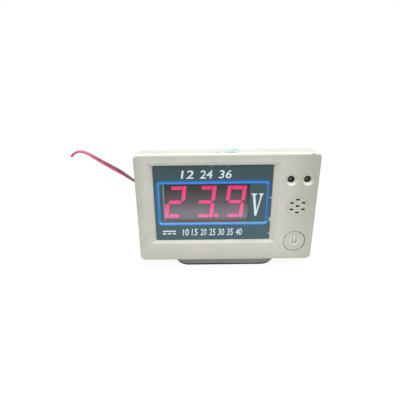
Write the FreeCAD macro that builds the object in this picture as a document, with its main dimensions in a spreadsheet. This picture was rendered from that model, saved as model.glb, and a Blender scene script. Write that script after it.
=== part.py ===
"""A digital voltage meter for a dashboard: an ivory case that tilts on a dark grey stand.

X runs to the right as seen from the front, Y runs back and Z up. The origin is on the surface that
the stand rests on, under the middle of the case and stand. All sizes are millimetres.
"""
import FreeCAD, Part
import math
import os

import Sketcher
from FreeCAD import Vector

doc = FreeCAD.newDocument("voltage_meter")
sheet = doc.addObject("Spreadsheet::Sheet", "Sizes")

FRONT = "XZ_Plane"
LEVEL = "XY_Plane"
SIDE = "YZ_Plane"


# Sizes

def formula_of(thing):
    """The sheet formula of a size, or a plain number as text."""
    if isinstance(thing, Size):
        return thing.formula
    return f"({thing})"


def number_of(thing):
    """The value of a size, or the number itself."""
    if isinstance(thing, Size):
        return thing.number
    return thing


class Size:
    """A length or place that knows its sheet formula and its value."""

    def __init__(self, formula, number):
        self.formula = formula
        self.number = number

    def with_other(self, sign, other, number):
        return Size(f"({self.formula} {sign} {formula_of(other)})", number)

    def __add__(self, other):
        return self.with_other("+", other, self.number + number_of(other))

    def __sub__(self, other):
        return self.with_other("-", other, self.number - number_of(other))

    def __mul__(self, other):
        return self.with_other("*", other, self.number * number_of(other))

    def __truediv__(self, other):
        return self.with_other("/", other, self.number / number_of(other))

    def __rsub__(self, other):
        return -self + other

    def __neg__(self):
        return self * -1

    __radd__ = __add__
    __rmul__ = __mul__


rows_used = 0


def size(name, number, meaning):
    """Writes one driving size into the sheet and gives it back for use in formulas."""
    global rows_used
    rows_used += 1
    sheet.set(f"A{rows_used}", meaning)
    sheet.set(f"B{rows_used}", str(number))
    sheet.setAlias(f"B{rows_used}", name)
    return Size(f"Sizes.{name}", number)


case_width = size("case_width", 75.5, "case, left to right")
case_height = size("case_height", 47.5, "case, underside to top")
case_depth = size("case_depth", 20.0, "face to rear wall")
case_corner = size("case_corner", 2.3, "outer corner radius of the case")
wall = size("wall", 1.8, "wall of both shells")
face_edge = size("face_edge", 0.9, "rounding of the front edge")
rear_edge = size("rear_edge", 0.8, "rounding of the rear edge")
shell_depth = size("shell_depth", 7.4, "face to the seam")
rim_depth = size("rim_depth", 2.2, "straight rim of the rear cover")
taper = size("taper", 4.0, "how far the rear cover draws in on each side")
lip_depth = size("lip_depth", 1.4, "tongue of the front shell inside the cover")
lip_clearance = size("lip_clearance", 0.1, "play of the tongue all round")
reveal_width = size("reveal_width", 0.4, "width of the shadow lines round the case")
reveal_cut = size("reveal_cut", 0.3, "depth of the shadow lines round the case")
line_depth = size("line_depth", 2.0, "face to the ornamental line")

recess_left = size("recess_left", 5.0, "left edge of the case to the label recess")
recess_low = size("recess_low", 8.2, "underside to the label recess")
recess_right = size("recess_right", 16.1, "right side of the case to the label recess")
recess_drop = size("recess_drop", 3.4, "top of the case to the label recess")
recess_depth = size("recess_depth", 1.6, "face to the recess floor")
bevel_left = size("bevel_left", 2.33, "left bevel of the recess")
bevel_right = size("bevel_right", 2.55, "right bevel of the recess")
bevel_low = size("bevel_low", 1.2, "lower bevel of the recess")
bevel_top = size("bevel_top", 1.65, "upper bevel of the recess")
floor_wall = size("floor_wall", 1.5, "wall behind the recess floor")
floor_margin = size("floor_margin", 1.2, "how far that wall runs past the recess")

label_thick = size("label_thick", 0.3, "label film")
label_gap = size("label_gap", 0.1, "label to the foot of the bevels")
label_corner = size("label_corner", 0.5, "corner radius of the label")
print_thick = size("print_thick", 0.04, "printed ink")
frame_side = size("frame_side", 1.0, "left of the recess floor to the printed blue frame")
frame_edge = size("frame_edge", 0.85, "right of the recess floor to the printed blue frame")
frame_clear = size("frame_clear", 0.3, "window to the blue line below it")
frame_band = size("frame_band", 1.55, "width of the blue line")
frame_above = size("frame_above", 0.14, "window to the blue line above it")
frame_corner = size("frame_corner", 2.6, "outer corner radius of the blue frame")
sign_wide = size("sign_wide", 5.0, "unit sign")
sign_high = size("sign_high", 9.92, "unit sign")
sign_drop = size("sign_drop", 1.05, "middle of the unit sign below the display's")
sign_left = size("sign_left", 0.22, "middle of the unit sign left of its space's middle")
sign_serif = size("sign_serif", 0.35, "ends of the unit sign's serifs")
sign_bracket = size("sign_bracket", 0.95, "serifs of the unit sign, where they meet its strokes")
current_side = size("current_side", 5.85, "left of the recess floor to the current sign's middle")
current_low = size("current_low", 3.55, "bottom of the recess floor to the current sign's middle")
current_wide = size("current_wide", 5.6, "current sign")
current_line = size("current_line", 0.6, "lines of the current sign")

display_left = size("display_left", 28.87, "left edge of the case to the display's middle")
display_up = size("display_up", 26.45, "underside to the display's middle")
display_side = size("display_side", 1.13, "outer digits to the display module's sides")
display_rise = size("display_rise", 2.4, "digits to the display module's top and bottom")
display_depth = size("display_depth", 8.0, "display module")
display_gap = size("display_gap", 0.2, "window to the display's face")
display_play = size("display_play", 0.3, "display module to its opening")
window_side = size("window_side", 0.68, "display's sides to the cut window, before its shift")
window_rise = size("window_rise", 1.15, "display's top and bottom to the cut window")
window_right = size("window_right", 0.43, "middle of the window right of the display's")
window_down = size("window_down", 0.2, "middle of the window below the display's")
window_thick = size("window_thick", 0.6, "smoked window")

digit_pitch = size("digit_pitch", 12.7, "digit to digit")
digit_height = size("digit_height", 14.2, "digit")
digit_width = size("digit_width", 8.1, "digit")
digit_lean = size("digit_lean", 0.13, "sideways lean for each millimetre up")
segment_width = size("segment_width", 1.65, "lit bar")
segment_gap = size("segment_gap", 0.22, "lit bar to the bar beside it, or to their mitre line")
segment_depth = size("segment_depth", 0.6, "depth of the bars in the display")
point_radius = size("point_radius", 0.95, "decimal point")
point_right = size("point_right", 5.45, "decimal point right of its digit's middle")
pin_width = size("pin_width", 0.5, "square pins of the display and lamps")
pin_pitch = size("pin_pitch", 2.54, "pins along a row")
pin_rows = size("pin_rows", 15.24, "display pins, row to row")
pin_play = size("pin_play", 0.15, "pin to its hole in the board")
pin_stand = size("pin_stand", 1.2, "pins past the board")

board_clear = size("board_clear", 0.78, "rear cover to the edges of the circuit board")
board_thick = size("board_thick", 1.6, "circuit board")
board_corner = size("board_corner", 0.5, "corner radius of the circuit board")
chip_width = size("chip_width", 12.8, "control chip")
chip_height = size("chip_height", 7.5, "control chip")
chip_depth = size("chip_depth", 2.3, "control chip")
chip_leg = size("chip_leg", 1.2, "legs past the control chip")
chip_pitch = size("chip_pitch", 1.27, "legs along the control chip")
regulator_left = size("regulator_left", 7.5, "voltage regulator left of the display's middle")
regulator_rise = size("regulator_rise", 12.0, "voltage regulator above the display's middle")
diode_left = size("diode_left", 15.0, "protection diode left of the display's middle")
can_left = size("can_left", 12.5, "filter capacitor left of the control column")
can_radius = size("can_radius", 3.1, "filter capacitor")
can_clear = size("can_clear", 0.8, "filter capacitor to the rear wall")
can_edge = size("can_edge", 0.5, "rounding of the filter capacitor")
resistor_left = size("resistor_left", 3.6, "left lamp to the nearest chip resistor")
resistor_rise = size("resistor_rise", 1.5, "chip resistors above the lamps")
resistor_pitch = size("resistor_pitch", 2.6, "chip resistor to chip resistor")
resistor_width = size("resistor_width", 1.25, "chip resistor")
resistor_height = size("resistor_height", 2.0, "chip resistor")
resistor_depth = size("resistor_depth", 0.5, "chip resistor")

control_edge = size("control_edge", 8.0, "right side of the case to the control column")
button_up = size("button_up", 8.75, "underside to the button's middle")
button_hole = size("button_hole", 4.8, "radius of the button's hole")
button_play = size("button_play", 0.2, "button to its hole, all round")
button_sunk = size("button_sunk", 0.3, "button's face below the case's")
button_flange = size("button_flange", 0.7, "flange past the hole")
flange_thick = size("flange_thick", 1.0, "flange of the button")
flange_play = size("flange_play", 0.1, "flange to the wall before it")
button_travel = size("button_travel", 0.5, "how far the button goes in")
sign_radius = size("sign_radius", 2.05, "raised power sign")
sign_line = size("sign_line", 0.65, "line of the power sign")
sign_rise = size("sign_rise", 0.3, "height of the power sign")
bar_top = size("bar_top", 2.6, "middle of the power sign to the top of its bar")
bar_length = size("bar_length", 2.6, "bar of the power sign")
switch_side = size("switch_side", 6.0, "push switch, square")
switch_height = size("switch_height", 3.5, "push switch body")
plunger_radius = size("plunger_radius", 1.75, "plunger of the switch")
plunger_rise = size("plunger_rise", 1.5, "plunger past its body")
plunger_play = size("plunger_play", 0.08, "plunger to its bore")

grille_up = size("grille_up", 24.95, "underside to the grille's middle")
slot_width = size("slot_width", 1.53, "grille slot")
slot_height = size("slot_height", 0.79, "grille slot")
slot_pitch = size("slot_pitch", 2.43, "grille slots, column to column")
slot_rise = size("slot_rise", 1.43, "grille slots, half the row pitch")
ring_radius = size("ring_radius", 4.42, "moulded ring round the grille")
ring_line = size("ring_line", 0.22, "width of that ring")
ring_cut = size("ring_cut", 0.15, "depth of that ring")
buzzer_radius = size("buzzer_radius", 4.5, "sounder")
buzzer_height = size("buzzer_height", 5.5, "sounder")
collar_play = size("collar_play", 0.25, "sounder to the collar round it")
collar_wall = size("collar_wall", 0.8, "collar round the sounder")
collar_length = size("collar_length", 4.6, "collar behind the face wall")

lamp_drop = size("lamp_drop", 11.1, "top of the case to the lamp holes")
lamp_spacing = size("lamp_spacing", 6.7, "lamp hole to lamp hole")
lamp_hole = size("lamp_hole", 1.38, "radius of a lamp hole")
lamp_sink = size("lamp_sink", 1.15, "countersink of a lamp hole")
lamp_lip = size("lamp_lip", 0.2, "wall left between a countersink and the seat behind it")
lamp_play = size("lamp_play", 0.15, "lamp to its seat, all round")
lamp_radius = size("lamp_radius", 1.5, "lamp")
lamp_length = size("lamp_length", 5.3, "lamp, flange to tip")
lamp_flange = size("lamp_flange", 0.4, "lamp flange past its barrel")
lamp_back = size("lamp_back", 0.2, "lip of the lamp hole to the lamp's tip")

screw_inset = size("screw_inset", 3.0, "edges of the rear wall to the case screws")
screw_shift = size("screw_shift", 10.2, "lower right screw left of the upper one")
screw_radius = size("screw_radius", 1.1, "case screw")
screw_play = size("screw_play", 0.15, "case screw to the holes that it passes")
thread_play = size("thread_play", 0.05, "case screw to the post that it bites in")
screw_length = size("screw_length", 12.0, "case screw under the head")
head_radius = size("head_radius", 2.0, "case screw head")
head_height = size("head_height", 1.4, "case screw head")
head_play = size("head_play", 0.3, "case screw head to its well")
head_sunk = size("head_sunk", 2.2, "rear wall to the seat of the heads")
post_radius = size("post_radius", 2.3, "screw posts of the front shell")
well_wall = size("well_wall", 0.8, "wall round the screw wells")

outlet_edge = size("outlet_edge", 13.9, "left side of the case to the lead's outlet")
outlet_up = size("outlet_up", 19.0, "underside to the lead's outlet")
core_radius = size("core_radius", 0.48, "one core of the lead")
core_spread = size("core_spread", 2.4, "the two cores' pads, middle to pad")
bushing_neck = size("bushing_neck", 2.2, "bushing in the wall")
bushing_flange = size("bushing_flange", 3.1, "flanges of the bushing")
flange_step = size("flange_step", 0.8, "thickness of the bushing's flanges")
bushing_tail = size("bushing_tail", 3.6, "tapered tail of the bushing")
tail_tip = size("tail_tip", 1.45, "radius at the tail's tip")
bore_play = size("bore_play", 0.08, "lead to the bushing's bore")

stand_width = size("stand_width", 46.0, "stand, left to right")
stand_past = size("stand_past", 1.8, "stand's rear edge past its ears")
stand_back = size("stand_back", 2.0, "face of the case to the stand's front edge")
stand_corner = size("stand_corner", 7.0, "corner radius of the stand")
stand_thick = size("stand_thick", 2.7, "plate of the stand")
stand_edge = size("stand_edge", 0.6, "rounding of the plate's upper edge")
pad_thick = size("pad_thick", 1.0, "foam pad under the stand")
pad_margin = size("pad_margin", 0.8, "edge of the stand to the pad")
rest_gap = size("rest_gap", 0.3, "stand to the underside of the case")
hinge_rise = size("hinge_rise", 3.5, "top of the stand's plate to the hinge axis")
knuckle_radius = size("knuckle_radius", 2.8, "knuckle of the rear cover")
knuckle_width = size("knuckle_width", 10.0, "knuckle of the rear cover")
ear_radius = size("ear_radius", 3.2, "ears of the stand")
ear_thick = size("ear_thick", 3.4, "ears of the stand")
ear_play = size("ear_play", 0.1, "knuckle to an ear")
ear_clear = size("ear_clear", 0.3, "rear wall to the ears")
web_low = size("web_low", 1.1, "lower edge of the rear wall to the knuckle's web")
web_height = size("web_height", 6.0, "web of the knuckle on the rear wall")
axle_radius = size("axle_radius", 1.25, "hinge screw")
axle_play = size("axle_play", 0.05, "hinge screw to its bores")
axle_head = size("axle_head", 2.4, "hinge screw head, radius")
axle_head_thick = size("axle_head_thick", 1.6, "hinge screw head")
axle_past = size("axle_past", 0.7, "hinge screw past its nut")
washer_radius = size("washer_radius", 2.9, "washers")
washer_thick = size("washer_thick", 0.5, "washers")
nut_flats = size("nut_flats", 5.0, "nut across its flats")
nut_thick = size("nut_thick", 2.0, "nut")

seal_shift = size("seal_shift", 0.0, "torn seal right of the middle of the case")
seal_thick = size("seal_thick", 0.08, "foil seal")

# Places that follow from the sizes
hinge_back = ear_radius + ear_clear
whole_depth = case_depth + hinge_back + ear_radius + stand_past
face = -whole_depth / 2
under = pad_thick + stand_thick + rest_gap
top = under + case_height
half_case = case_width / 2
seam = face + shell_depth
rim_end = seam + rim_depth
rear = face + case_depth
recess_floor = face + recess_depth
recess_x = recess_left - half_case
recess_z = under + recess_low
floor_left = recess_x + bevel_left
recess_end = half_case - recess_right
recess_top = top - recess_drop
floor_right = recess_end - bevel_right
floor_bottom = recess_z + bevel_low
floor_top = recess_top - bevel_top
display_x = display_left - half_case
display_z = under + display_up
display_y = recess_floor + window_thick + display_gap
digits_reach = digit_pitch + digit_width / 2 + digit_height / 2 * digit_lean
display_width = (digits_reach + display_side) * 2
display_height = digit_height + display_rise * 2
window_x = display_x + window_right
window_z = display_z - window_down
window_width = display_width - window_side * 2
window_height = display_height - window_rise * 2
frame_left = floor_left + frame_side
frame_right = floor_right - frame_edge
frame_low = window_z - window_height / 2 - frame_clear - frame_band
frame_top = window_z + window_height / 2 + frame_above + frame_band
board_y = display_y + display_depth
board_rear = board_y + board_thick
control_x = half_case - control_edge
button_z = under + button_up
grille_z = under + grille_up
lamp_z = top - lamp_drop
lamp_places = [control_x - lamp_spacing / 2, control_x + lamp_spacing / 2]
lamp_seat = face + lamp_sink + lamp_lip
lamp_tip = lamp_seat + lamp_back
screw_seat = rear - head_sunk
screw_tip = screw_seat - screw_length
screw_edge = taper + screw_inset
screw_side = half_case - screw_edge
screw_places = [
    (-screw_side, top - screw_edge),
    (screw_side, top - screw_edge),
    (-screw_side, under + screw_edge),
    (screw_side - screw_shift, under + screw_edge),
]
outlet_x = outlet_edge - half_case
outlet_z = under + outlet_up
outlet_y = rear + flange_step + bushing_tail
cord_radius = core_radius * 2 + bore_play / 2
hinge_y = rear + hinge_back
hinge_z = pad_thick + stand_thick + hinge_rise
ear_start = knuckle_width / 2 + ear_play


# Ways of making

class Drawing:
    """A sketch at one level of a body's plane, with every point bound to the sheet."""

    def __init__(self, body, name, plane, level):
        self.body = body
        self.plane = plane
        self.curves = []
        self.rules = []
        self.formulas = []
        self.sketch = body.newObject("Sketcher::SketchObject", name)
        origin = next(f for f in body.Origin.OriginFeatures if f.Role == plane)
        self.sketch.AttachmentSupport = [(origin, "")]
        self.sketch.MapMode = "FlatFace"
        along = -level if plane == FRONT else level
        self.sketch.setExpression("AttachmentOffset.Base.z", formula_of(along))

    def curve(self, shape):
        self.curves.append(shape)
        return len(self.curves) - 1

    def rule(self, kind, *what):
        self.rules.append(Sketcher.Constraint(kind, *what))

    def bound_rule(self, kind, value, *what):
        self.formulas.append((len(self.rules), formula_of(value)))
        self.rules.append(Sketcher.Constraint(kind, *what, float(number_of(value))))

    def pin(self, curve, point, x, y):
        """Holds a curve's point at a place measured from the sketch's origin."""
        self.bound_rule("DistanceX", x, -1, 1, curve, point)
        self.bound_rule("DistanceY", y, -1, 1, curve, point)

    def outline(self, corners):
        """A closed run of straight edges through the corners."""
        points = [Vector(number_of(x), number_of(y), 0) for x, y in corners]
        following = points[1:] + points[:1]
        lines = [self.curve(Part.LineSegment(a, b)) for a, b in zip(points, following)]
        for index, line in enumerate(lines):
            after = lines[(index + 1) % len(lines)]
            self.rule("Coincident", line, 2, after, 1)
            self.pin(line, 1, *corners[index])
        return self

    def rectangle(self, left, right, low, high):
        return self.outline([(left, low), (right, low), (right, high), (left, high)])

    def block(self, x, y, width, height):
        """A rectangle about its middle."""
        return self.rectangle(x - width / 2, x + width / 2, y - height / 2, y + height / 2)

    def circle(self, x, y, radius):
        middle = Vector(number_of(x), number_of(y), 0)
        curve = self.curve(Part.Circle(middle, Vector(0, 0, 1), number_of(radius)))
        self.pin(curve, 3, x, y)
        self.bound_rule("Radius", radius, curve)
        return self

    def rounded(self, left, right, low, high, radius):
        """A rectangle with round corners: four arcs, each tangent to its two straight edges."""
        middles = [
            (right - radius, high - radius),
            (left + radius, high - radius),
            (left + radius, low + radius),
            (right - radius, low + radius),
        ]
        reach = number_of(radius)
        arcs = []
        for quarter, (x, y) in enumerate(middles):
            start = quarter * math.pi / 2
            round_part = Part.Circle(Vector(number_of(x), number_of(y), 0), Vector(0, 0, 1), reach)
            arcs.append(self.curve(Part.ArcOfCircle(round_part, start, start + math.pi / 2)))
        ends = [self.curves[arc] for arc in arcs]
        lines = []
        for index, arc in enumerate(ends):
            after = ends[(index + 1) % 4]
            lines.append(self.curve(Part.LineSegment(arc.EndPoint, after.StartPoint)))
        for index, (x, y) in enumerate(middles):
            self.rule("Tangent", arcs[index], 2, lines[index], 1)
            self.rule("Tangent", lines[index], 2, arcs[(index + 1) % 4], 1)
            self.pin(arcs[index], 3, x, y)
            self.bound_rule("Radius", radius, arcs[index])
        return self

    def close(self):
        """Puts the curves and their rules into the sketch."""
        self.sketch.addGeometry(self.curves, False)
        self.sketch.addConstraint(self.rules)
        for index, formula in self.formulas:
            self.sketch.setExpression(f"Constraints[{index}]", formula)
        self.sketch.recompute()
        return self.sketch


def new_body(label, several=False):
    """A sub-part, which may hold several separate solids of one kind."""
    body = doc.addObject("PartDesign::Body", label)
    body.Label = label
    body.AllowCompound = several
    return body


def volume_of(body):
    if body.Tip is None or body.Tip.Shape.isNull():
        return 0.0
    return body.Tip.Shape.Volume


def pushed(kind, drawing, length, name):
    """A pad or pocket that runs from the drawing's level towards the back, the right or the top."""
    before = volume_of(drawing.body)
    sketch = drawing.close()
    made = drawing.body.newObject("PartDesign::" + kind, name)
    made.Profile = sketch
    made.setExpression("Length", formula_of(length))
    made.Reversed = (drawing.plane == FRONT) == (kind == "Pad")
    made.recompute()
    changed = volume_of(drawing.body) - before
    if (changed <= 0) == (kind == "Pad"):
        raise ValueError(f"{name} changes the volume by {changed:.4f}")
    return made


def pad(drawing, length, name):
    return pushed("Pad", drawing, length, name)


def pocket(drawing, length, name):
    return pushed("Pocket", drawing, length, name)


def joined_by_loft(kind, first, second, name):
    """A straight-sided loft between two drawings."""
    made = first.body.newObject("PartDesign::" + kind, name)
    made.Profile = first.close()
    made.Sections = [second.close()]
    made.Ruled = True
    made.recompute()
    return made


def eased(body, kind, prop, amount, wanted, name):
    """Rounds or chamfers the edges of the body that the test picks."""
    base = body.Tip
    edges = [f"Edge{i}" for i, edge in enumerate(base.Shape.Edges, 1) if wanted(edge)]
    if not edges:
        raise ValueError(f"{name} finds no edge")
    made = body.newObject("PartDesign::" + kind, name)
    made.Base = (base, edges)
    made.setExpression(prop, formula_of(amount))
    made.recompute()
    return made


def fillet(body, amount, wanted, name):
    return eased(body, "Fillet", "Radius", amount, wanted, name)


def chamfer(body, amount, wanted, name):
    return eased(body, "Chamfer", "Size", amount, wanted, name)


def lies_at(axis, level):
    """A test for the edges that lie in the plane where that axis has that level."""
    place = number_of(level)

    def wanted(edge):
        box = edge.BoundBox
        low = getattr(box, axis + "Min")
        high = getattr(box, axis + "Max")
        return abs(low - place) < 1e-4 and abs(high - place) < 1e-4

    return wanted


def disc(label, x, z, radius, start, length, several=False):
    """A round piece whose axis runs front to back."""
    body = new_body(label, several)
    pad(Drawing(body, label + "_round", FRONT, start).circle(x, z, radius), length, label + "_pad")
    return body


# The case

def outer_outline(drawing, inset, corner):
    """The case's front outline, drawn in by an inset."""
    return drawing.rounded(
        inset - half_case, half_case - inset, under + inset, top - inset, corner)


def cut_line(body, level, name):
    """A shadow line round the outside of a shell."""
    drawing = Drawing(body, name + "_sketch", FRONT, level)
    outer_outline(drawing, -wall, case_corner + wall)
    outer_outline(drawing, reveal_cut, case_corner - reveal_cut)
    pocket(drawing, reveal_width, name)


def make_front_shell():
    body = new_body("front_shell")
    start = outer_outline(Drawing(body, "shell_outline", FRONT, face), 0, case_corner)
    pad(start, shell_depth, "shell_block")
    fillet(body, face_edge, lies_at("Y", face), "shell_front_edge")
    hollow = outer_outline(Drawing(body, "shell_hollow", FRONT, face + wall), wall, case_corner - wall)
    pocket(hollow, shell_depth, "shell_cavity")
    tongue = Drawing(body, "shell_tongue", FRONT, seam)
    outer_outline(tongue, wall / 2 + lip_clearance, case_corner - wall / 2)
    outer_outline(tongue, wall, case_corner - wall)
    pad(tongue, lip_depth, "shell_lip")

    backing = Drawing(body, "floor_backing", FRONT, face + wall / 2)
    backing.rectangle(
        recess_x - floor_margin, recess_end + floor_margin,
        recess_z - floor_margin, recess_top + floor_margin)
    pad(backing, recess_depth + floor_wall - wall / 2, "floor_plate")
    posts = Drawing(body, "screw_posts", FRONT, face + wall)
    for x, z in screw_places:
        posts.circle(x, z, post_radius)
    pad(posts, board_y - face - wall, "screw_post_pad")
    cores = Drawing(body, "screw_cores", FRONT, screw_tip)
    for x, z in screw_places:
        cores.circle(x, z, screw_radius + thread_play)
    pocket(cores, board_y - screw_tip, "screw_core_cut")
    on_face = Drawing(body, "recess_on_face", FRONT, face)
    on_face.rectangle(recess_x, recess_end, recess_z, recess_top)
    on_floor = Drawing(body, "recess_on_floor", FRONT, recess_floor)
    on_floor.rectangle(floor_left, floor_right, floor_bottom, floor_top)
    joined_by_loft("SubtractiveLoft", on_face, on_floor, "label_recess")
    opening = Drawing(body, "display_opening", FRONT, recess_floor)
    opening.block(
        display_x, display_z, display_width + display_play * 2, display_height + display_play * 2)
    pocket(opening, floor_wall, "display_cut")

    collar = Drawing(body, "sounder_collar", FRONT, face + wall)
    collar.circle(control_x, grille_z, buzzer_radius + collar_play + collar_wall)
    collar.circle(control_x, grille_z, buzzer_radius + collar_play)
    pad(collar, collar_length, "sounder_collar_pad")
    ring = Drawing(body, "grille_ring", FRONT, face)
    ring.circle(control_x, grille_z, ring_radius + ring_line / 2)
    ring.circle(control_x, grille_z, ring_radius - ring_line / 2)
    pocket(ring, ring_cut, "grille_ring_cut")
    slots = Drawing(body, "grille_slots", FRONT, face)
    for column in (-1, 0, 1):
        for row in (-1, 1) if column else (-2, 0, 2):
            slots.block(
                control_x + slot_pitch * column, grille_z + slot_rise * row,
                slot_width, slot_height)
    pocket(slots, wall, "grille_cut")

    lamps = Drawing(body, "lamp_holes", FRONT, face)
    for x in lamp_places:
        lamps.circle(x, lamp_z, lamp_hole)
    pocket(lamps, wall, "lamp_cut")
    mouth_radius = number_of(lamp_hole)

    def is_lamp_mouth(edge):
        round_edge = edge.Curve.TypeId == "Part::GeomCircle" and lies_at("Y", face)(edge)
        return round_edge and abs(edge.Curve.Radius - mouth_radius) < 1e-4

    chamfer(body, lamp_sink, is_lamp_mouth, "lamp_countersink")
    seats = Drawing(body, "lamp_seats", FRONT, lamp_seat)
    for x in lamp_places:
        seats.circle(x, lamp_z, lamp_radius + lamp_play)
    pocket(seats, wall - lamp_sink - lamp_lip, "lamp_seat_cut")
    button = Drawing(body, "button_opening", FRONT, face)
    pocket(button.circle(control_x, button_z, button_hole), wall, "button_cut")
    cut_line(body, face + line_depth, "ornament_line")
    cut_line(body, seam - reveal_width, "seam_line")
    return body


def cover_inset(level, beyond):
    """How far the rear cover has drawn in at a depth, with a further inset."""
    return taper * (level - rim_end) / (rear - rim_end) + beyond


# The web meets the knuckle at these turns about the hinge axis, just under its surface
WEB_LOW_TURN = math.radians(-123)
WEB_HIGH_TURN = math.radians(38)
UNDER_SURFACE = 0.98


def in_barrel(turn):
    reach = knuckle_radius * UNDER_SURFACE
    return hinge_y + reach * math.cos(turn), hinge_z + reach * math.sin(turn)


def make_rear_cover():
    body = new_body("rear_cover")
    rim = outer_outline(Drawing(body, "rim_outline", FRONT, seam), 0, case_corner)
    pad(rim, rim_depth, "cover_rim")
    wide = outer_outline(Drawing(body, "taper_front", FRONT, rim_end), 0, case_corner)
    narrow = outer_outline(Drawing(body, "taper_rear", FRONT, rear), taper, case_corner)
    joined_by_loft("AdditiveLoft", wide, narrow, "cover_taper")
    fillet(body, rear_edge, lies_at("Y", rear), "cover_rear_edge")

    inner = case_corner - wall
    mouth = outer_outline(Drawing(body, "cover_mouth", FRONT, seam), wall, inner)
    pocket(mouth, rim_depth, "cover_mouth_cut")
    inner_wide = outer_outline(Drawing(body, "hollow_front", FRONT, rim_end), wall, inner)
    deepest = rear - wall
    inner_narrow = Drawing(body, "hollow_rear", FRONT, deepest)
    outer_outline(inner_narrow, cover_inset(deepest, wall), inner)
    joined_by_loft("SubtractiveLoft", inner_wide, inner_narrow, "cover_hollow")
    step = Drawing(body, "lip_step", FRONT, seam)
    outer_outline(step, wall / 2, case_corner - wall / 2)
    pocket(step, lip_depth + lip_clearance, "lip_step_cut")

    wells = Drawing(body, "screw_wells", FRONT, board_rear)
    passages = Drawing(body, "screw_passages", FRONT, board_rear)
    seats = Drawing(body, "screw_seats", FRONT, screw_seat)
    for x, z in screw_places:
        wells.circle(x, z, head_radius + head_play + well_wall)
        passages.circle(x, z, screw_radius + screw_play)
        seats.circle(x, z, head_radius + head_play)
    pad(wells, rear - wall / 2 - board_rear, "screw_well_pad")
    pocket(passages, case_depth, "screw_passage_cut")
    pocket(seats, case_depth, "screw_seat_cut")
    outlet = Drawing(body, "outlet_hole", FRONT, rear - wall * 2)
    pocket(outlet.circle(outlet_x, outlet_z, bushing_neck), wall * 3, "outlet_cut")

    half_knuckle = knuckle_width / 2
    web_y = rear - wall / 2
    web_z = under + taper + web_low
    web = Drawing(body, "knuckle_web", SIDE, -half_knuckle)
    web.outline([
        (web_y, web_z),
        in_barrel(WEB_LOW_TURN),
        in_barrel(WEB_HIGH_TURN),
        (web_y, web_z + web_height),
    ])
    pad(web, knuckle_width, "knuckle_web_pad")
    barrel = Drawing(body, "knuckle_barrel", SIDE, -half_knuckle)
    pad(barrel.circle(hinge_y, hinge_z, knuckle_radius), knuckle_width, "knuckle_barrel_pad")
    bore = Drawing(body, "knuckle_bore", SIDE, -half_knuckle)
    pocket(bore.circle(hinge_y, hinge_z, axle_radius + axle_play), knuckle_width, "knuckle_bore_cut")
    return body


def make_case_screws():
    body = new_body("case_screws", True)
    shanks = Drawing(body, "screw_shanks", FRONT, screw_tip)
    heads = Drawing(body, "screw_heads", FRONT, screw_seat)
    slots = Drawing(body, "screw_crosses", FRONT, screw_seat + head_height / 2)
    for x, z in screw_places:
        shanks.circle(x, z, screw_radius)
        heads.circle(x, z, head_radius)
        slots.block(x, z, head_radius, screw_radius / 2)
    pad(shanks, screw_length, "screw_shank_pad")
    pad(heads, head_height, "screw_head_pad")
    pocket(slots, head_height, "screw_cross_cut")
    return body


# The label and the window

def make_face_label():
    body = new_body("face_label")
    film = Drawing(body, "label_film", FRONT, recess_floor - label_thick)
    film.rounded(
        floor_left + label_gap, floor_right - label_gap,
        floor_bottom + label_gap, floor_top - label_gap, label_corner)
    film.block(window_x, window_z, window_width, window_height)
    pad(film, label_thick, "label_pad")
    return body


def make_label_frame():
    """The blue line round the window, printed on the label."""
    body = new_body("label_frame_print")
    ink = Drawing(body, "frame_ink", FRONT, recess_floor - label_thick - print_thick)
    ink.rounded(frame_left, frame_right, frame_low, frame_top, frame_corner)
    ink.rounded(
        frame_left + frame_band, frame_right - frame_band,
        frame_low + frame_band, frame_top - frame_band, frame_corner - frame_band)
    pad(ink, print_thick, "frame_ink_pad")
    return body


def make_label_signs():
    """White print: the unit sign, a plain V, and the sign for direct current."""
    body = new_body("label_sign_print", True)
    level = recess_floor - label_thick - print_thick
    window_end = window_x + window_width / 2
    middle = (window_end + frame_right - frame_band) / 2 - sign_left
    head = display_z - sign_drop + sign_high / 2
    low = head - sign_high
    half = sign_wide / 2
    under_serif = head - sign_serif
    bracket = head - sign_bracket
    letter = Drawing(body, "unit_sign", FRONT, level)
    letter.outline([
        (middle - half, head),
        (middle - half, under_serif),
        (middle - half * 0.76, bracket),
        (middle - half * 0.35, low),
        (middle - half * 0.05, low),
        (middle + half * 0.79, bracket),
        (middle + half, under_serif),
        (middle + half, head),
        (middle + half * 0.26, head),
        (middle + half * 0.26, under_serif),
        (middle + half * 0.53, bracket),
        (middle - half * 0.05, low + sign_high * 0.25),
        (middle - half * 0.36, bracket),
        (middle - half * 0.06, under_serif),
        (middle - half * 0.06, head),
    ])
    pad(letter, print_thick, "unit_sign_pad")
    current = Drawing(body, "current_sign", FRONT, level)
    along = floor_left + current_side
    row = floor_bottom + current_low
    dash = current_wide / 4
    current.block(along, row + current_line, current_wide, current_line)
    for place in (-1, 0, 1):
        current.block(along + dash * 1.5 * place, row - current_line, dash, current_line)
    pad(current, print_thick, "current_sign_pad")
    return body


def make_window():
    body = new_body("display_window")
    pane = Drawing(body, "window_pane", FRONT, recess_floor)
    pane.block(display_x, display_z, display_width, display_height)
    pad(pane, window_thick, "window_pad")
    return body


# The display

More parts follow.
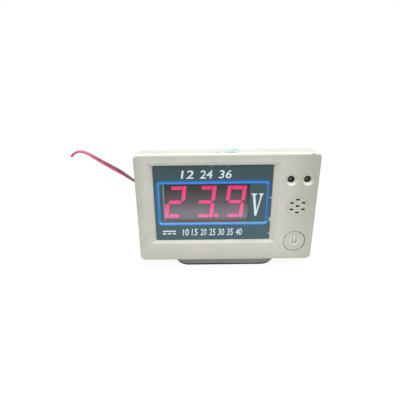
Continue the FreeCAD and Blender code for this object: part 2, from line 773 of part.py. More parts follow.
def bar_corners(name):
    """The corners of one bar of a digit, from the digit's middle, before it leans."""
    half = digit_width / 2
    tall = digit_height / 2
    thick = segment_width
    gap = segment_gap
    centre = half - thick / 2
    if name in "ad":
        way = 1 if name == "a" else -1
        reach = half - thick - gap
        return [
            (-reach, tall * way),
            (reach, tall * way),
            (reach, (tall - thick) * way),
            (-reach, (tall - thick) * way),
        ]
    if name == "g":
        return [
            (gap - centre, 0),
            (thick / 2 + gap - centre, thick / 2),
            (centre - thick / 2 - gap, thick / 2),
            (centre - gap, 0),
            (centre - thick / 2 - gap, thick / -2),
            (thick / 2 + gap - centre, thick / -2),
        ]
    side = 1 if name in "bc" else -1
    way = 1 if name in "bf" else -1
    return [
        (half * side, tall * way),
        ((half - thick) * side, tall * way),
        ((half - thick) * side, (thick / 2 + gap) * way),
        (centre * side, gap * way),
        (half * side, (gap + thick / 2) * way),
    ]


READING = {-1: "abged", 0: "abgcd", 1: "abcdfg"}
POINT_AFTER = 0


def draw_bars(drawing, place, wanted):
    """Draws the bars of the digit at a place that the test wants, leaning, and its point."""
    middle = display_x + digit_pitch * place
    for name in "abcdefg":
        if wanted(name in READING[place]):
            drawing.outline([
                (middle + u + v * digit_lean, display_z + v) for u, v in bar_corners(name)])
    if wanted(place == POINT_AFTER):
        below = digit_height / -2 + point_radius
        drawing.circle(middle + point_right + below * digit_lean, display_z + below, point_radius)
    return drawing


def make_bars(label, wanted):
    body = new_body(label, True)
    for place in (-1, 0, 1):
        drawing = Drawing(body, f"{label}_{place + 2}", FRONT, display_y)
        pad(draw_bars(drawing, place, wanted), segment_depth, f"{label}_pad_{place + 2}")
    return body


def make_display_housing():
    body = new_body("display_housing")
    block = Drawing(body, "housing_block", FRONT, display_y)
    block.block(display_x, display_z, display_width, display_height)
    pad(block, display_depth, "housing_pad")
    for place in (-1, 0, 1):
        drawing = Drawing(body, f"bar_pockets_{place + 2}", FRONT, display_y)
        draw_bars(drawing, place, lambda lit: True)
        pocket(drawing, segment_depth, f"bar_cut_{place + 2}")
    return body


def display_pin_places():
    """Two rows of six pins."""
    return [
        (display_x + pin_pitch * (column - 2.5), display_z + pin_rows / 2 * row)
        for row in (-1, 1)
        for column in range(6)
    ]


def lamp_pin_places():
    """Each lamp has one lead above the other."""
    return [(x, lamp_z + pin_pitch / 2 * row) for x in lamp_places for row in (-1, 1)]


def buzzer_pin_places():
    return [(control_x + pin_pitch * row, grille_z) for row in (-1, 1)]


def switch_pin_places():
    reach = switch_side / 2 - pin_width
    return [
        (control_x + reach * column, button_z + reach * row)
        for column in (-1, 1)
        for row in (-1, 1)
    ]


def core_places():
    """Where the two cores of the lead meet the board."""
    return [(outlet_x + core_spread * side, outlet_z) for side in (-1, 1)]


def make_pins(label, places, start, end):
    """Square pins that run back from a component to just past the board."""
    body = new_body(label, True)
    drawing = Drawing(body, label + "_sketch", FRONT, start)
    for x, z in places:
        drawing.block(x, z, pin_width, pin_width)
    pad(drawing, end - start, label + "_pad")
    return body


# The board and what it carries

def make_main_board():
    body = new_body("main_board")
    drawing = Drawing(body, "board_outline", FRONT, board_y)
    outer_outline(drawing, cover_inset(board_rear, wall + board_clear), board_corner)
    for x, z in screw_places:
        drawing.circle(x, z, screw_radius + screw_play)
    pin_holes = display_pin_places() + lamp_pin_places() + buzzer_pin_places() + switch_pin_places()
    for x, z in pin_holes:
        drawing.circle(x, z, pin_width * 0.71 + pin_play)
    for x, z in core_places():
        drawing.circle(x, z, core_radius + pin_play)
    pad(drawing, board_thick, "board_pad")
    return body


def make_lamp(label, x):
    body = disc(label, x, lamp_z, lamp_radius, lamp_tip, lamp_length)
    fillet(body, lamp_radius - lamp_back / 2, lies_at("Y", lamp_tip), label + "_dome")
    foot = Drawing(body, label + "_flange_round", FRONT, lamp_tip + lamp_length - flange_step)
    pad(foot.circle(x, lamp_z, lamp_radius + lamp_flange), flange_step, label + "_flange")
    return body


def make_buzzer():
    front = board_y - buzzer_height
    body = disc("buzzer", control_x, grille_z, buzzer_radius, front, buzzer_height)
    mouth = Drawing(body, "buzzer_mouth", FRONT, front)
    pocket(mouth.circle(control_x, grille_z, buzzer_radius / 5), buzzer_height / 4, "buzzer_hole")
    return body


def make_switch():
    body = new_body("switch_body")
    top = board_y - switch_height
    block = Drawing(body, "switch_square", FRONT, top)
    pad(block.block(control_x, button_z, switch_side, switch_side), switch_height, "switch_block")
    bore = Drawing(body, "switch_bore", FRONT, top)
    bore.circle(control_x, button_z, plunger_radius + plunger_play)
    pocket(bore, button_travel + flange_play * 3, "switch_bore_cut")
    top_of_plunger = top - plunger_rise
    disc(
        "switch_plunger", control_x, button_z, plunger_radius, top_of_plunger,
        plunger_rise + flange_play)


def make_power_button():
    """The cap: its face sits a little below the case's, and its flange keeps it from falling out."""
    cap_radius = button_hole - button_play
    cap_face = face + button_sunk
    flange_front = face + wall + flange_play
    body = disc(
        "power_button", control_x, button_z, cap_radius, cap_face, flange_front - cap_face)
    fillet(body, button_sunk, lies_at("Y", cap_face), "cap_edge")
    flange = Drawing(body, "cap_flange", FRONT, flange_front)
    flange.circle(control_x, button_z, button_hole + button_flange)
    pad(flange, flange_thick, "cap_flange_pad")
    stem_start = flange_front + flange_thick
    stem = Drawing(body, "cap_stem", FRONT, stem_start)
    stem.circle(control_x, button_z, plunger_radius)
    stem_end = board_y - switch_height - plunger_rise
    pad(stem, stem_end - stem_start, "cap_stem_pad")
    ring = Drawing(body, "power_ring", FRONT, cap_face - sign_rise)
    ring.circle(control_x, button_z, sign_radius)
    ring.circle(control_x, button_z, sign_radius - sign_line)
    pad(ring, sign_rise, "power_ring_pad")
    gap = Drawing(body, "power_gap", FRONT, cap_face - sign_rise)
    gap.block(control_x, button_z + sign_radius, sign_line * 3.2, sign_radius)
    pocket(gap, sign_rise, "power_gap_cut")
    bar = Drawing(body, "power_bar", FRONT, cap_face - sign_rise)
    bar.block(control_x, button_z + bar_top - bar_length / 2, sign_line, bar_length)
    pad(bar, sign_rise, "power_bar_pad")
    return body


def on_board(label, blocks, depth, several=False):
    """Box-shaped components on the back of the board, each block given as x, z, width and height."""
    body = new_body(label, several)
    drawing = Drawing(body, label + "_sketch", FRONT, board_rear)
    for block in blocks:
        drawing.block(*block)
    pad(drawing, depth, label + "_pad")
    return body


def make_components():
    on_board("control_chip", [(display_x, display_z, chip_width, chip_height)], chip_depth)
    leg_row = (chip_height + chip_leg) / 2
    legs = [
        (display_x + chip_pitch * (place - 4.5), display_z + leg_row * side,
         chip_pitch / 3, chip_leg)
        for place in range(10)
        for side in (-1, 1)
    ]
    on_board("control_chip_legs", legs, chip_depth / 2, True)
    regulator = (
        display_x - regulator_left, display_z + regulator_rise, chip_width / 2, chip_height / 2)
    on_board("voltage_regulator", [regulator], chip_depth * 0.7)
    diode = (display_x - diode_left, display_z, chip_height / 3, chip_width / 3)
    on_board("protection_diode", [diode], chip_depth)
    can_end = rear - wall - can_clear
    can = disc(
        "filter_capacitor", control_x - can_left, grille_z, can_radius, board_rear,
        can_end - board_rear)
    fillet(can, can_edge, lies_at("Y", can_end), "can_rounding")
    chips = [
        (lamp_places[0] - resistor_left - resistor_pitch * place, lamp_z + resistor_rise,
         resistor_width, resistor_height)
        for place in range(7)
    ]
    on_board("chip_resistors", chips, resistor_depth, True)


# The lead

def bent_path(points, share=0.45):
    """Straight runs joined by tangent arcs, each as large as its two runs allow."""
    edges = []
    radii = []
    start = points[0]
    for before, corner, after in zip(points, points[1:], points[2:]):
        back = (before - corner).normalize()
        ahead = (after - corner).normalize()
        turn = math.pi - back.getAngle(ahead)
        shorter = min((before - corner).Length, (after - corner).Length)
        reach = shorter * share
        radius = reach / math.tan(turn / 2)
        enter = corner + back * reach
        leave = corner + ahead * reach
        to_middle = (back + ahead).normalize()
        middle = corner + to_middle * (radius / math.cos(turn / 2) - radius)
        edges.append(Part.LineSegment(start, enter).toShape())
        edges.append(Part.Arc(enter, middle, leave).toShape())
        radii.append(round(radius, 1))
        start = leave
    edges.append(Part.LineSegment(start, points[-1]).toShape())
    return Part.Wire(edges), radii


def make_tube(label, points, radius):
    """A round tube along the points, swept from a circle square to the first run."""
    places = [Vector(number_of(x), number_of(y), number_of(z)) for x, y, z in points]
    wire, radii = bent_path(places)
    path = doc.addObject("Part::Feature", label + "_path")
    path.Shape = wire
    end = doc.addObject("Part::Circle", label + "_end")
    end.setExpression("Radius", formula_of(radius))
    x, y, z = points[0]
    for axis, place in (("x", x), ("y", y), ("z", z)):
        end.setExpression(f"Placement.Base.{axis}", formula_of(place))
    end.Placement.Rotation = FreeCAD.Rotation(Vector(0, 0, 1), places[1] - places[0])
    swept = doc.addObject("Part::Sweep", label)
    swept.Sections = [end]
    swept.Spine = (path, [f"Edge{i + 1}" for i in range(len(wire.Edges))])
    swept.Solid = True
    swept.Frenet = False
    swept.Label = label
    end.recompute()
    swept.recompute()
    expected = math.pi * number_of(radius) ** 2 * wire.Length
    share = swept.Shape.Volume / expected
    print(f"{label}: {wire.Length:.1f} long, radii {radii}, volume share {share:.4f}")
    if abs(share - 1) > 0.02:
        raise ValueError(f"{label} has the wrong volume")
    return swept


# Places along the free lead, from the tip of the bushing: right, back and up
LEAD_ROUTE = [
    (0.0, 0.0, 0.0),
    (0.0, 5.6, 0.0),
    (-4.0, 10.0, 1.4),
    (-11.6, 11.2, 4.2),
    (-20.2, 9.5, 8.4),
    (-26.6, 8.1, 14.4),
    (-33.6, 6.5, 20.0),
    (-39.0, 5.1, 23.8),
    (-43.3, 4.1, 25.7),
    (-47.4, 3.5, 25.1),
    (-50.6, 3.1, 22.7),
]


def make_lead():
    route = [(outlet_x + x, outlet_y + y, outlet_z + z) for x, y, z in LEAD_ROUTE]
    make_tube("supply_cord", route, cord_radius)
    inner_flange = rear - wall - flange_step
    halfway = (inner_flange + board_rear) / 2
    for colour, side, pad_place in zip(("black", "red"), (-1, 1), core_places()):
        beside = outlet_x + (core_radius + bore_play / 4) * side
        pad_x, pad_z = pad_place
        make_tube(
            "inner_lead_" + colour,
            [
                (pad_x, board_y, pad_z),
                (pad_x, board_rear + flange_step, pad_z),
                (beside, halfway + flange_step * 1.5, outlet_z),
                (beside, outlet_y, outlet_z),
            ],
            core_radius,
        )
    body = new_body("lead_solder", True)
    drawing = Drawing(body, "solder_rings", FRONT, board_rear)
    for x, z in core_places():
        drawing.circle(x, z, core_radius * 2)
        drawing.circle(x, z, core_radius + pin_play)
    pad(drawing, flange_step / 2, "solder_pad")


def make_bushing():
    """Rubber bushing: a neck in the wall between two flanges, and a tapered tail."""
    inner_flange = rear - wall - flange_step
    body = disc("cord_bushing", outlet_x, outlet_z, bushing_flange, inner_flange, flange_step)
    neck = Drawing(body, "bushing_neck_round", FRONT, rear - wall)
    pad(neck.circle(outlet_x, outlet_z, bushing_neck), wall, "bushing_neck_pad")
    outer = Drawing(body, "bushing_outer_round", FRONT, rear)
    pad(outer.circle(outlet_x, outlet_z, bushing_flange), flange_step, "bushing_outer_pad")
    root = Drawing(body, "tail_root", FRONT, rear + flange_step)
    root.circle(outlet_x, outlet_z, bushing_neck)
    tip = Drawing(body, "tail_end", FRONT, outlet_y)
    tip.circle(outlet_x, outlet_z, tail_tip)
    joined_by_loft("AdditiveLoft", root, tip, "bushing_tail_cone")
    bore = Drawing(body, "bushing_bore", FRONT, inner_flange)
    bore.circle(outlet_x, outlet_z, core_radius * 2 + bore_play)
    pocket(bore, case_depth, "bushing_bore_cut")
    return body


# The seal

def make_seal_scrap():
    """Torn rests of a thin foil seal that once held the seam shut, on top of the case."""
    body = new_body("seal_scrap", True)
    front = face + face_edge
    main = Drawing(body, "seal_main", LEVEL, top)
    main.outline([
        (seal_shift - 4.2, front + 0.2),
        (seal_shift - 1.0, front + 0.1),
        (seal_shift + 0.6, front + 1.5),
        (seal_shift + 4.8, front + 1.9),
        (seal_shift + 3.2, front + 3.5),
        (seal_shift + 4.2, front + 5.0),
        (seal_shift + 0.8, front + 5.5),
        (seal_shift - 1.8, front + 4.1),
        (seal_shift - 3.2, front + 2.3),
    ])
    pad(main, seal_thick, "seal_main_pad")
    rest = Drawing(body, "seal_rest", LEVEL, top)
    rest.outline([
        (seal_shift + 1.0, seam + 0.3),
        (seal_shift + 5.6, seam + 0.2),
        (seal_shift + 5.0, seam + 1.5),
        (seal_shift + 2.2, seam + 1.8),
    ])
    pad(rest, seal_thick, "seal_rest_pad")
    return body


# The stand

def stand_outline(drawing, inset):
    return drawing.rounded(
        inset - stand_width / 2, stand_width / 2 - inset,
        face + stand_back + inset, face + whole_depth - inset, stand_corner - inset)


def make_stand():
    body = new_body("stand_base")
    plate = stand_outline(Drawing(body, "plate_outline", LEVEL, pad_thick), 0)
    pad(plate, stand_thick, "plate_pad")
    fillet(body, stand_edge, lies_at("Z", pad_thick + stand_thick), "plate_edge")
    for side, start in (("right", ear_start), ("left", -(ear_start + ear_thick))):
        foot = Drawing(body, side + "_ear_foot", SIDE, start)
        foot.rectangle(hinge_y - ear_radius, hinge_y + ear_radius, pad_thick + stand_edge, hinge_z)
        pad(foot, ear_thick, side + "_ear_block")
        head = Drawing(body, side + "_ear_head", SIDE, start)
        pad(head.circle(hinge_y, hinge_z, ear_radius), ear_thick, side + "_ear_round")
        bore = Drawing(body, side + "_ear_bore", SIDE, start)
        bore.circle(hinge_y, hinge_z, axle_radius + axle_play)
        pocket(bore, ear_thick, side + "_ear_bore_cut")
    sticky = new_body("stand_pad")
    pad(stand_outline(Drawing(sticky, "pad_outline", LEVEL, 0), pad_margin), pad_thick, "foam")


def across(label, parts, several=False):
    """A turned piece on the hinge axis: (start, length, radius) from the middle to the right."""
    body = new_body(label, several)
    for index, (start, length, radius) in enumerate(parts):
        drawing = Drawing(body, f"{label}_round_{index}", SIDE, start)
        pad(drawing.circle(hinge_y, hinge_z, radius), length, f"{label}_pad_{index}")
    return body


def make_hinge():
    outside = ear_start + ear_thick
    head_start = outside + washer_thick
    nut_end = outside + washer_thick + nut_thick
    screw = across("hinge_screw", [
        (-(nut_end + axle_past), nut_end + axle_past + head_start, axle_radius),
        (head_start, axle_head_thick, axle_head),
    ])
    fillet(screw, axle_past / 2, lies_at("X", head_start + axle_head_thick), "hinge_head_edge")
    slot = Drawing(screw, "hinge_slot", SIDE, head_start + axle_head_thick / 2)
    slot.block(hinge_y, hinge_z, axle_head * 3, axle_past)
    pocket(slot, axle_head_thick, "hinge_slot_cut")

    nut = new_body("hinge_nut")
    hexagon = Drawing(nut, "nut_hexagon", SIDE, -nut_end)
    corner = nut_flats / math.sqrt(3)
    hexagon.outline([
        (hinge_y + corner * math.cos(math.radians(60 * turn)),
         hinge_z + corner * math.sin(math.radians(60 * turn)))
        for turn in range(6)
    ])
    hexagon.circle(hinge_y, hinge_z, axle_radius + axle_play)
    pad(hexagon, nut_thick, "nut_pad")

    washers = new_body("hinge_washers", True)
    for name, start in (("right", outside), ("left", -(outside + washer_thick))):
        ring = Drawing(washers, name + "_washer", SIDE, start)
        ring.circle(hinge_y, hinge_z, washer_radius)
        ring.circle(hinge_y, hinge_z, axle_radius + axle_play)
        pad(ring, washer_thick, name + "_washer_pad")


def make_all():
    doc.recompute()
    make_front_shell()
    make_rear_cover()
    make_case_screws()
    make_face_label()
    make_label_frame()
    make_label_signs()
    make_window()
    make_display_housing()
    make_bars("display_segments_lit", lambda lit: lit)
    make_bars("display_segments_unlit", lambda lit: not lit)
    make_main_board()
    past_board = board_rear + pin_stand
    make_pins("display_pins", display_pin_places(), board_y, past_board)
    make_pins("led_leads", lamp_pin_places(), lamp_tip + lamp_length, past_board)
    make_pins("buzzer_pins", buzzer_pin_places(), board_y, past_board)
    make_pins("switch_legs", switch_pin_places(), board_y, past_board)
    make_lamp("indicator_led_left", lamp_places[0])
    make_lamp("indicator_led_right", lamp_places[1])
    make_buzzer()
    make_switch()
    make_power_button()
    make_components()
    make_bushing()
    make_lead()
    make_seal_scrap()
    make_stand()
    make_hinge()


def check_and_write():
    """Every object has to be sound before anything is written."""
    doc.recompute()
    for thing in doc.Objects:
        if {"Invalid", "Error"} & set(thing.State):
            raise ValueError(f"{thing.Name} has failed: {thing.State}")
    os.makedirs("parts", exist_ok=True)
    pieces = [t for t in doc.Objects if t.TypeId in ("PartDesign::Body", "Part::Sweep")]
    for piece in pieces:
        if piece.Shape.isNull() or not piece.Shape.isValid():
            raise ValueError(f"{piece.Label} has no sound shape")
    for piece in pieces:
        piece.Shape.exportStep(f"parts/{piece.Label}.step")
        print(f"{piece.Label}: {len(piece.Shape.Solids)} solid(s), {piece.Shape.Volume:.2f} mm3")


make_all()
check_and_write()
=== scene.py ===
# %% [markdown]
# # A voltage meter on a tilting stand
# This notebook dresses a small dashboard voltmeter: an ivory case with a printed label, three lit
# digits, two lamp holes, a sounder grille and a power button, on a dark grey stand.
# The solid parts are already built at their real size. Here they get their finish, and the print,
# the torn seal and the lead are modelled as meshes around them. Every length is in metres, and MM
# turns millimetres into them. Only the shaders and a few lists of places count in millimetres.

# %% Load the frame
import math

import bmesh
import bpy
from mathutils import Matrix, Vector, noise


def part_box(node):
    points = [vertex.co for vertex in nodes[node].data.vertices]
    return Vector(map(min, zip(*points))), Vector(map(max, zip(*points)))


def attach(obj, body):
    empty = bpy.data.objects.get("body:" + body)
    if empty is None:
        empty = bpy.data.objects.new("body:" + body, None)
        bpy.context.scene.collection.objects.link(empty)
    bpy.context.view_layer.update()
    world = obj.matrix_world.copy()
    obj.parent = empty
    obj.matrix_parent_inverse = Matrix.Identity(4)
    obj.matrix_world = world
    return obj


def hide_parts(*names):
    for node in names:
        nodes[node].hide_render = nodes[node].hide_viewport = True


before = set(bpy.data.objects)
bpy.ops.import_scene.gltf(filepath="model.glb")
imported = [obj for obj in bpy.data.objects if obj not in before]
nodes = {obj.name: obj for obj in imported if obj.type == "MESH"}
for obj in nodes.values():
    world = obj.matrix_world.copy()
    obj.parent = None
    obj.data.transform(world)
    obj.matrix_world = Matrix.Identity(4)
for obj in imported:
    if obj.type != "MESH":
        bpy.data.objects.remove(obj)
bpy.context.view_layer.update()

MM = 0.001

# %% [markdown]
# ## Where the camera stands
# The photograph was taken from close by, a little to the left of the middle and above, so the case
# narrows towards its foot. A real camera is copied by four facts: where it stands, how far it looks
# down, how far it leans and its lens. They come first, because everything is judged through them.

# %% Camera
CAMERA_PLACE = Vector((-11.08, -130.86, 71.51)) * MM
LOOKS_DOWN = math.radians(18.63)
LEANS = math.radians(-0.65)
LENS = 26.67

camera_data = bpy.data.cameras.new("camera")
camera_data.lens = LENS
camera_data.clip_start = 5 * MM
camera = bpy.data.objects.new("camera", camera_data)
turned = Matrix.Rotation(math.pi / 2 - LOOKS_DOWN, 4, "X") @ Matrix.Rotation(LEANS, 4, "Z")
camera.matrix_world = Matrix.Translation(CAMERA_PLACE) @ turned
bpy.context.scene.collection.objects.link(camera)
bpy.context.scene.camera = camera
print("camera at", [round(c / MM, 1) for c in CAMERA_PLACE], "mm, lens", LENS, "mm")

# %% [markdown]
# ## Shader sums in Python
# A material is a graph of nodes, and a graph is hard to read as code. So one small class wraps a
# socket and gives it the signs of arithmetic: `1 - mask` adds a Math node by itself. A second class
# holds one material and adds every other kind of node through a single method.

# %% A socket that takes part in sums
class Value:
    """A socket of a material, with the signs of arithmetic."""

    def __init__(self, look, socket):
        self.look = look
        self.socket = socket

    def sum_with(self, operation, first, second):
        return self.look.node("ShaderNodeMath", {"operation": operation}, {0: first, 1: second})

    def __add__(self, other):
        return self.sum_with("ADD", self, other)

    def __sub__(self, other):
        return self.sum_with("SUBTRACT", self, other)

    def __rsub__(self, other):
        return self.sum_with("SUBTRACT", other, self)

    def __mul__(self, other):
        return self.sum_with("MULTIPLY", self, other)

    def __gt__(self, other):
        return self.sum_with("GREATER_THAN", self, other)

    def __lt__(self, other):
        return self.sum_with("LESS_THAN", self, other)

    __radd__ = __add__
    __rmul__ = __mul__


# %% Colours as a paint chart gives them
def paint(red, green, blue):
    """A colour given from 0 to 255, as the linear light that a shader works in."""
    def light(part):
        share = part / 255
        return share / 12.92 if share <= 0.04045 else ((share + 0.055) / 1.055) ** 2.4

    return (light(red), light(green), light(blue), 1.0)


print("a middle grey of 128 is", round(paint(128, 128, 128)[0], 3), "as light")

# %% One material and its nodes
class Look:
    """A material that is being made. Places on the object are read in millimetres."""

    def __init__(self, name, **fixed):
        self.material = bpy.data.materials.new(name)
        self.material.use_nodes = True
        self.tree = self.material.node_tree
        self.shader = self.tree.nodes["Principled BSDF"]
        self.dress(**fixed)

    def node(self, kind, settings=None, inputs=None, output=0):
        made = self.tree.nodes.new(kind)
        for name, value in (settings or {}).items():
            if name == "stops":
                self.set_stops(made.color_ramp, value)
            else:
                setattr(made, name, value)
        for socket, value in (inputs or {}).items():
            self.feed(made.inputs[socket], value)
        return Value(self, made.outputs[output])

    def set_stops(self, ramp, stops):
        while len(ramp.elements) < len(stops):
            ramp.elements.new(1.0)
        for element, (place, colour) in zip(ramp.elements, stops):
            element.position = place
            element.color = colour

    def feed(self, socket, value):
        if isinstance(value, Value):
            self.tree.links.new(value.socket, socket)
        else:
            socket.default_value = value

    def dress(self, **sockets):
        """Sets the shader's sockets: base_color stands for Base Color, and so on."""
        for name, value in sockets.items():
            title = name.replace("_", " ").title().replace("Ior", "IOR")
            self.feed(self.shader.inputs[title], value)

    def place(self):
        spot = self.node("ShaderNodeTexCoord", output="Object")
        return self.node(
            "ShaderNodeVectorMath", {"operation": "SCALE"}, {0: spot, "Scale": 1 / MM})

    def axes(self):
        split = self.node("ShaderNodeSeparateXYZ", inputs={0: self.place()})
        return [Value(self, output) for output in split.socket.node.outputs]

    def noise(self, size, detail=3.0, shift=0.0):
        """Cloudy noise from 0 to 1 whose lumps are about that many millimetres wide."""
        spot = self.node(
            "ShaderNodeVectorMath", {"operation": "ADD"},
            {0: self.place(), 1: (shift, shift, shift)})
        return self.node(
            "ShaderNodeTexNoise", inputs={"Vector": spot, "Scale": 1 / size, "Detail": detail})

    def eased(self, value, low, high, out_low=0.0, out_high=1.0):
        """A soft step that rises from out_low to out_high while the value goes from low to high."""
        return self.node(
            "ShaderNodeMapRange", {"interpolation_type": "SMOOTHSTEP"},
            {"Value": value, "From Min": low, "From Max": high,
             "To Min": out_low, "To Max": out_high})

    def least(self, first, second):
        return self.node("ShaderNodeMath", {"operation": "MINIMUM"}, {0: first, 1: second})

    def mix(self, mask, first, second):
        return self.node(
            "ShaderNodeMix", {"data_type": "RGBA"}, {0: mask, 6: first, 7: second}, output=2)

    def distance(self, x, z):
        """How far a point lies from a place on the front, in millimetres."""
        across, _, up = self.axes()
        return self.node(
            "ShaderNodeMath", {"operation": "POWER"},
            {0: (across - x) * (across - x) + (up - z) * (up - z), 1: 0.5})

    def spot(self, x, z, radius, soft=0.3):
        """A round mask on the front, about a place in millimetres, with a ragged rim."""
        ragged = self.distance(x, z) + self.noise(radius * 0.9, 2.0, shift=x) * radius
        return 1 - self.eased(ragged, radius * (1.5 - soft), radius * (1.5 + soft))

    def bump(self, height, depth, strength=1.0):
        """Height from 0 to 1 that stands for a relief of that many millimetres."""
        normal = self.node(
            "ShaderNodeBump",
            inputs={"Height": height, "Distance": depth * MM, "Strength": strength})
        self.dress(normal=normal)


# %% Putting looks on nodes
def wear(look, *pieces):
    """Gives the material to nodes, by name, or to pieces made here."""
    for piece in pieces:
        owner = nodes[piece] if isinstance(piece, str) else piece
        owner.data.materials.clear()
        owner.data.materials.append(look.material)


# %% [markdown]
# ## The ivory case
# Cheap moulded plastic that has yellowed a little: hardly any gloss, a fine spark-eroded grain, faint
# cloudy patches where hands have been, and a few dark specks. One flat colour would look like
# putty, so the base colour wanders between a greener and a warmer ivory, and the grain is bump.
# Towards its edges the front gets painted shade, most on the right and strongest towards the top.

# %% Tones of the ivory plastic
IVORY = paint(206, 206, 194)
IVORY_GREEN = paint(200, 203, 191)
IVORY_WARM = paint(211, 207, 198)
# The next four tones are painted light: shade at the front's edges, a highlight, shade in the sign's
# middle and shade in the grille's slots
IVORY_EDGE_SHADE = paint(179, 178, 166)
IVORY_HIGHLIGHT = paint(238, 240, 230)
IVORY_SHADE = paint(160, 160, 148)
SLOT_SHADE = paint(62, 60, 52)
GRIME = paint(120, 112, 96)

case_low, case_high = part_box("front_shell")
FACE = case_low.y / MM
print("the face lies at y", round(FACE, 2), "mm")

# %% Painted shade at the edges of the front
# How far in from each edge the painted shade reaches, in millimetres
EDGE_SHADE_LEFT = 9.0
EDGE_SHADE_RIGHT = 19.0
EDGE_SHADE_LOW = 12.0
EDGE_SHADE_TOP = 8.0
# How much of the way back to unshaded plastic is already made at the outline itself
HEAD_START = 0.25
HEAD_START_TOP = 0.4


def painted_edge_shade(look):
    """A mask of painted shade that fades in from the edges of the front, a little weaker towards the
    foot.
    """
    across, back, up = look.axes()
    from_side = look.least(
        (across - case_low.x / MM) * (1 / EDGE_SHADE_LEFT) + HEAD_START,
        (case_high.x / MM - across) * (1 / EDGE_SHADE_RIGHT))
    from_end = look.least(
        (up - case_low.z / MM) * (1 / EDGE_SHADE_LOW) + HEAD_START,
        (case_high.z / MM - up) * (1 / EDGE_SHADE_TOP) + HEAD_START_TOP)
    from_edge = look.least(from_side, from_end)
    on_front = 1 - look.eased(back, FACE + 0.05, FACE + 0.6)
    return (1 - look.eased(from_edge, 0.0, 1.0)) * on_front * look.eased(up, 12.0, 44.0, 0.65, 1.0)


# %% [markdown]
# ## Painted highlights and shade
# The raised power sign, the lower rim of the lamp holes' dishes and the upper front edge are painted
# paler, as painted highlights, and the middle of the sign and the grille's slots are painted darker,
# as painted shade. Each mask is a distance from a piece's middle, joined with how deep a point lies
# behind the face. That is simpler than painting by hand, and it follows when the solid changes.

# %% Masks from places on the front
# Radii of the sign's middle in painted shade, the sign, a lamp's dish and the grille, in millimetres
SIGN_MIDDLE = 1.0
SIGN_REACH = 2.9
DISH_REACH = 2.5
GRILLE_REACH = 3.9
# How deep behind the face a point still belongs to the front wall
WALL_DEPTH = 4.0
# How strongly each of them shows, from 0 to 1
SIGN_HIGHLIGHT, SIGN_SHADE = 0.55, 0.5
DISH_HIGHLIGHT = 0.8
TOP_EDGE_HIGHLIGHT = 0.55
SLOTS_SHADED = 0.85
sign_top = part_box("power_button")[0].y / MM


def middle_of(name):
    """Where a node's middle lies on the front, in millimetres."""
    low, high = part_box(name)
    return ((low.x + high.x) / 2 / MM, (low.z + high.z) / 2 / MM)


# The raised sign gets a painted highlight and its sunk middle painted shade
def paint_sign_light_and_shade(look, back, in_wall, colour):
    from_sign = look.distance(*middle_of("power_button"))
    raised = (from_sign < SIGN_REACH) * (1 - look.eased(back, sign_top + 0.06, sign_top + 0.2))
    sunk = (1 - look.eased(from_sign, SIGN_MIDDLE, 2.6)) * (back > sign_top + 0.2) * in_wall
    shaded = look.mix(sunk * SIGN_SHADE, colour, IVORY_SHADE)
    return look.mix(raised * SIGN_HIGHLIGHT, shaded, IVORY_HIGHLIGHT)


# The lower rim of each lamp hole's dish gets a painted highlight
def paint_dish_highlights(look, back, up, in_wall, colour):
    for lamp in ("indicator_led_left", "indicator_led_right"):
        x, z = middle_of(lamp)
        near = 1 - look.eased(look.distance(x, z), DISH_REACH - 0.2, DISH_REACH + 0.2)
        dish = near * (back > FACE + 0.03) * in_wall
        lower = 1 - look.eased(up, z - 2.2, z - 0.6)
        colour = look.mix(dish * lower * DISH_HIGHLIGHT, colour, IVORY_HIGHLIGHT)
    return colour


# The upper front edge gets a painted highlight
def paint_top_edge_highlight(look, back, up, colour):
    top = case_high.z / MM
    top_edge = look.eased(up, top - 1.5, top - 0.6)
    near_face = 1 - look.eased(back, FACE + 0.3, FACE + 0.9)
    return look.mix(top_edge * near_face * TOP_EDGE_HIGHLIGHT, colour, IVORY_HIGHLIGHT)


# The walls of the grille's slots get painted shade
def paint_slot_shade(look, back, in_wall, colour):
    in_slots = (look.distance(*middle_of("buzzer")) < GRILLE_REACH) * (back > FACE + 0.25)
    return look.mix(in_slots * in_wall * SLOTS_SHADED, colour, SLOT_SHADE)


print("power sign at", [round(c, 2) for c in middle_of("power_button")], "mm")

# %% Specks and dents
# One speck fits into a cell of this many millimetres. Its radius is a share of the cell, and only
# cells whose random tone is above the last number have one
SPECK_CELL = 5.0
SPECK_RADIUS = 0.022
SPECK_FROM = 0.6
# How strongly the specks and the dust on the back show
SPECKS_SHOW, REAR_DUST_SHOWS = 0.5, 0.12
# Two dark spots on the front: across, up and radius in millimetres, and how dark they are
DARK_SPOTS = [(-34.8, 14.6, 0.28, 0.75), (34.3, 50.7, 0.45, 0.6)]


def dirty_marks(look, back, in_wall):
    """A mask of single specks, two dark spots on the front and the dust on the back."""
    cell = {"Vector": look.place(), "Scale": 1 / SPECK_CELL}
    from_seed = look.node("ShaderNodeTexVoronoi", inputs=cell)
    chosen = look.node("ShaderNodeTexVoronoi", inputs=cell, output=1)
    tone = look.node("ShaderNodeSeparateColor", inputs={0: chosen})
    specks = (from_seed < SPECK_RADIUS) * (tone > SPECK_FROM)
    dark_spots = sum(look.spot(x, z, radius) * dark for x, z, radius, dark in DARK_SPOTS)
    rear_dust = look.eased(back, -6.5, 4.0) * look.noise(1.6, 5.0, shift=9.0) * REAR_DUST_SHOWS
    return specks * SPECKS_SHOW + dark_spots * in_wall + rear_dust


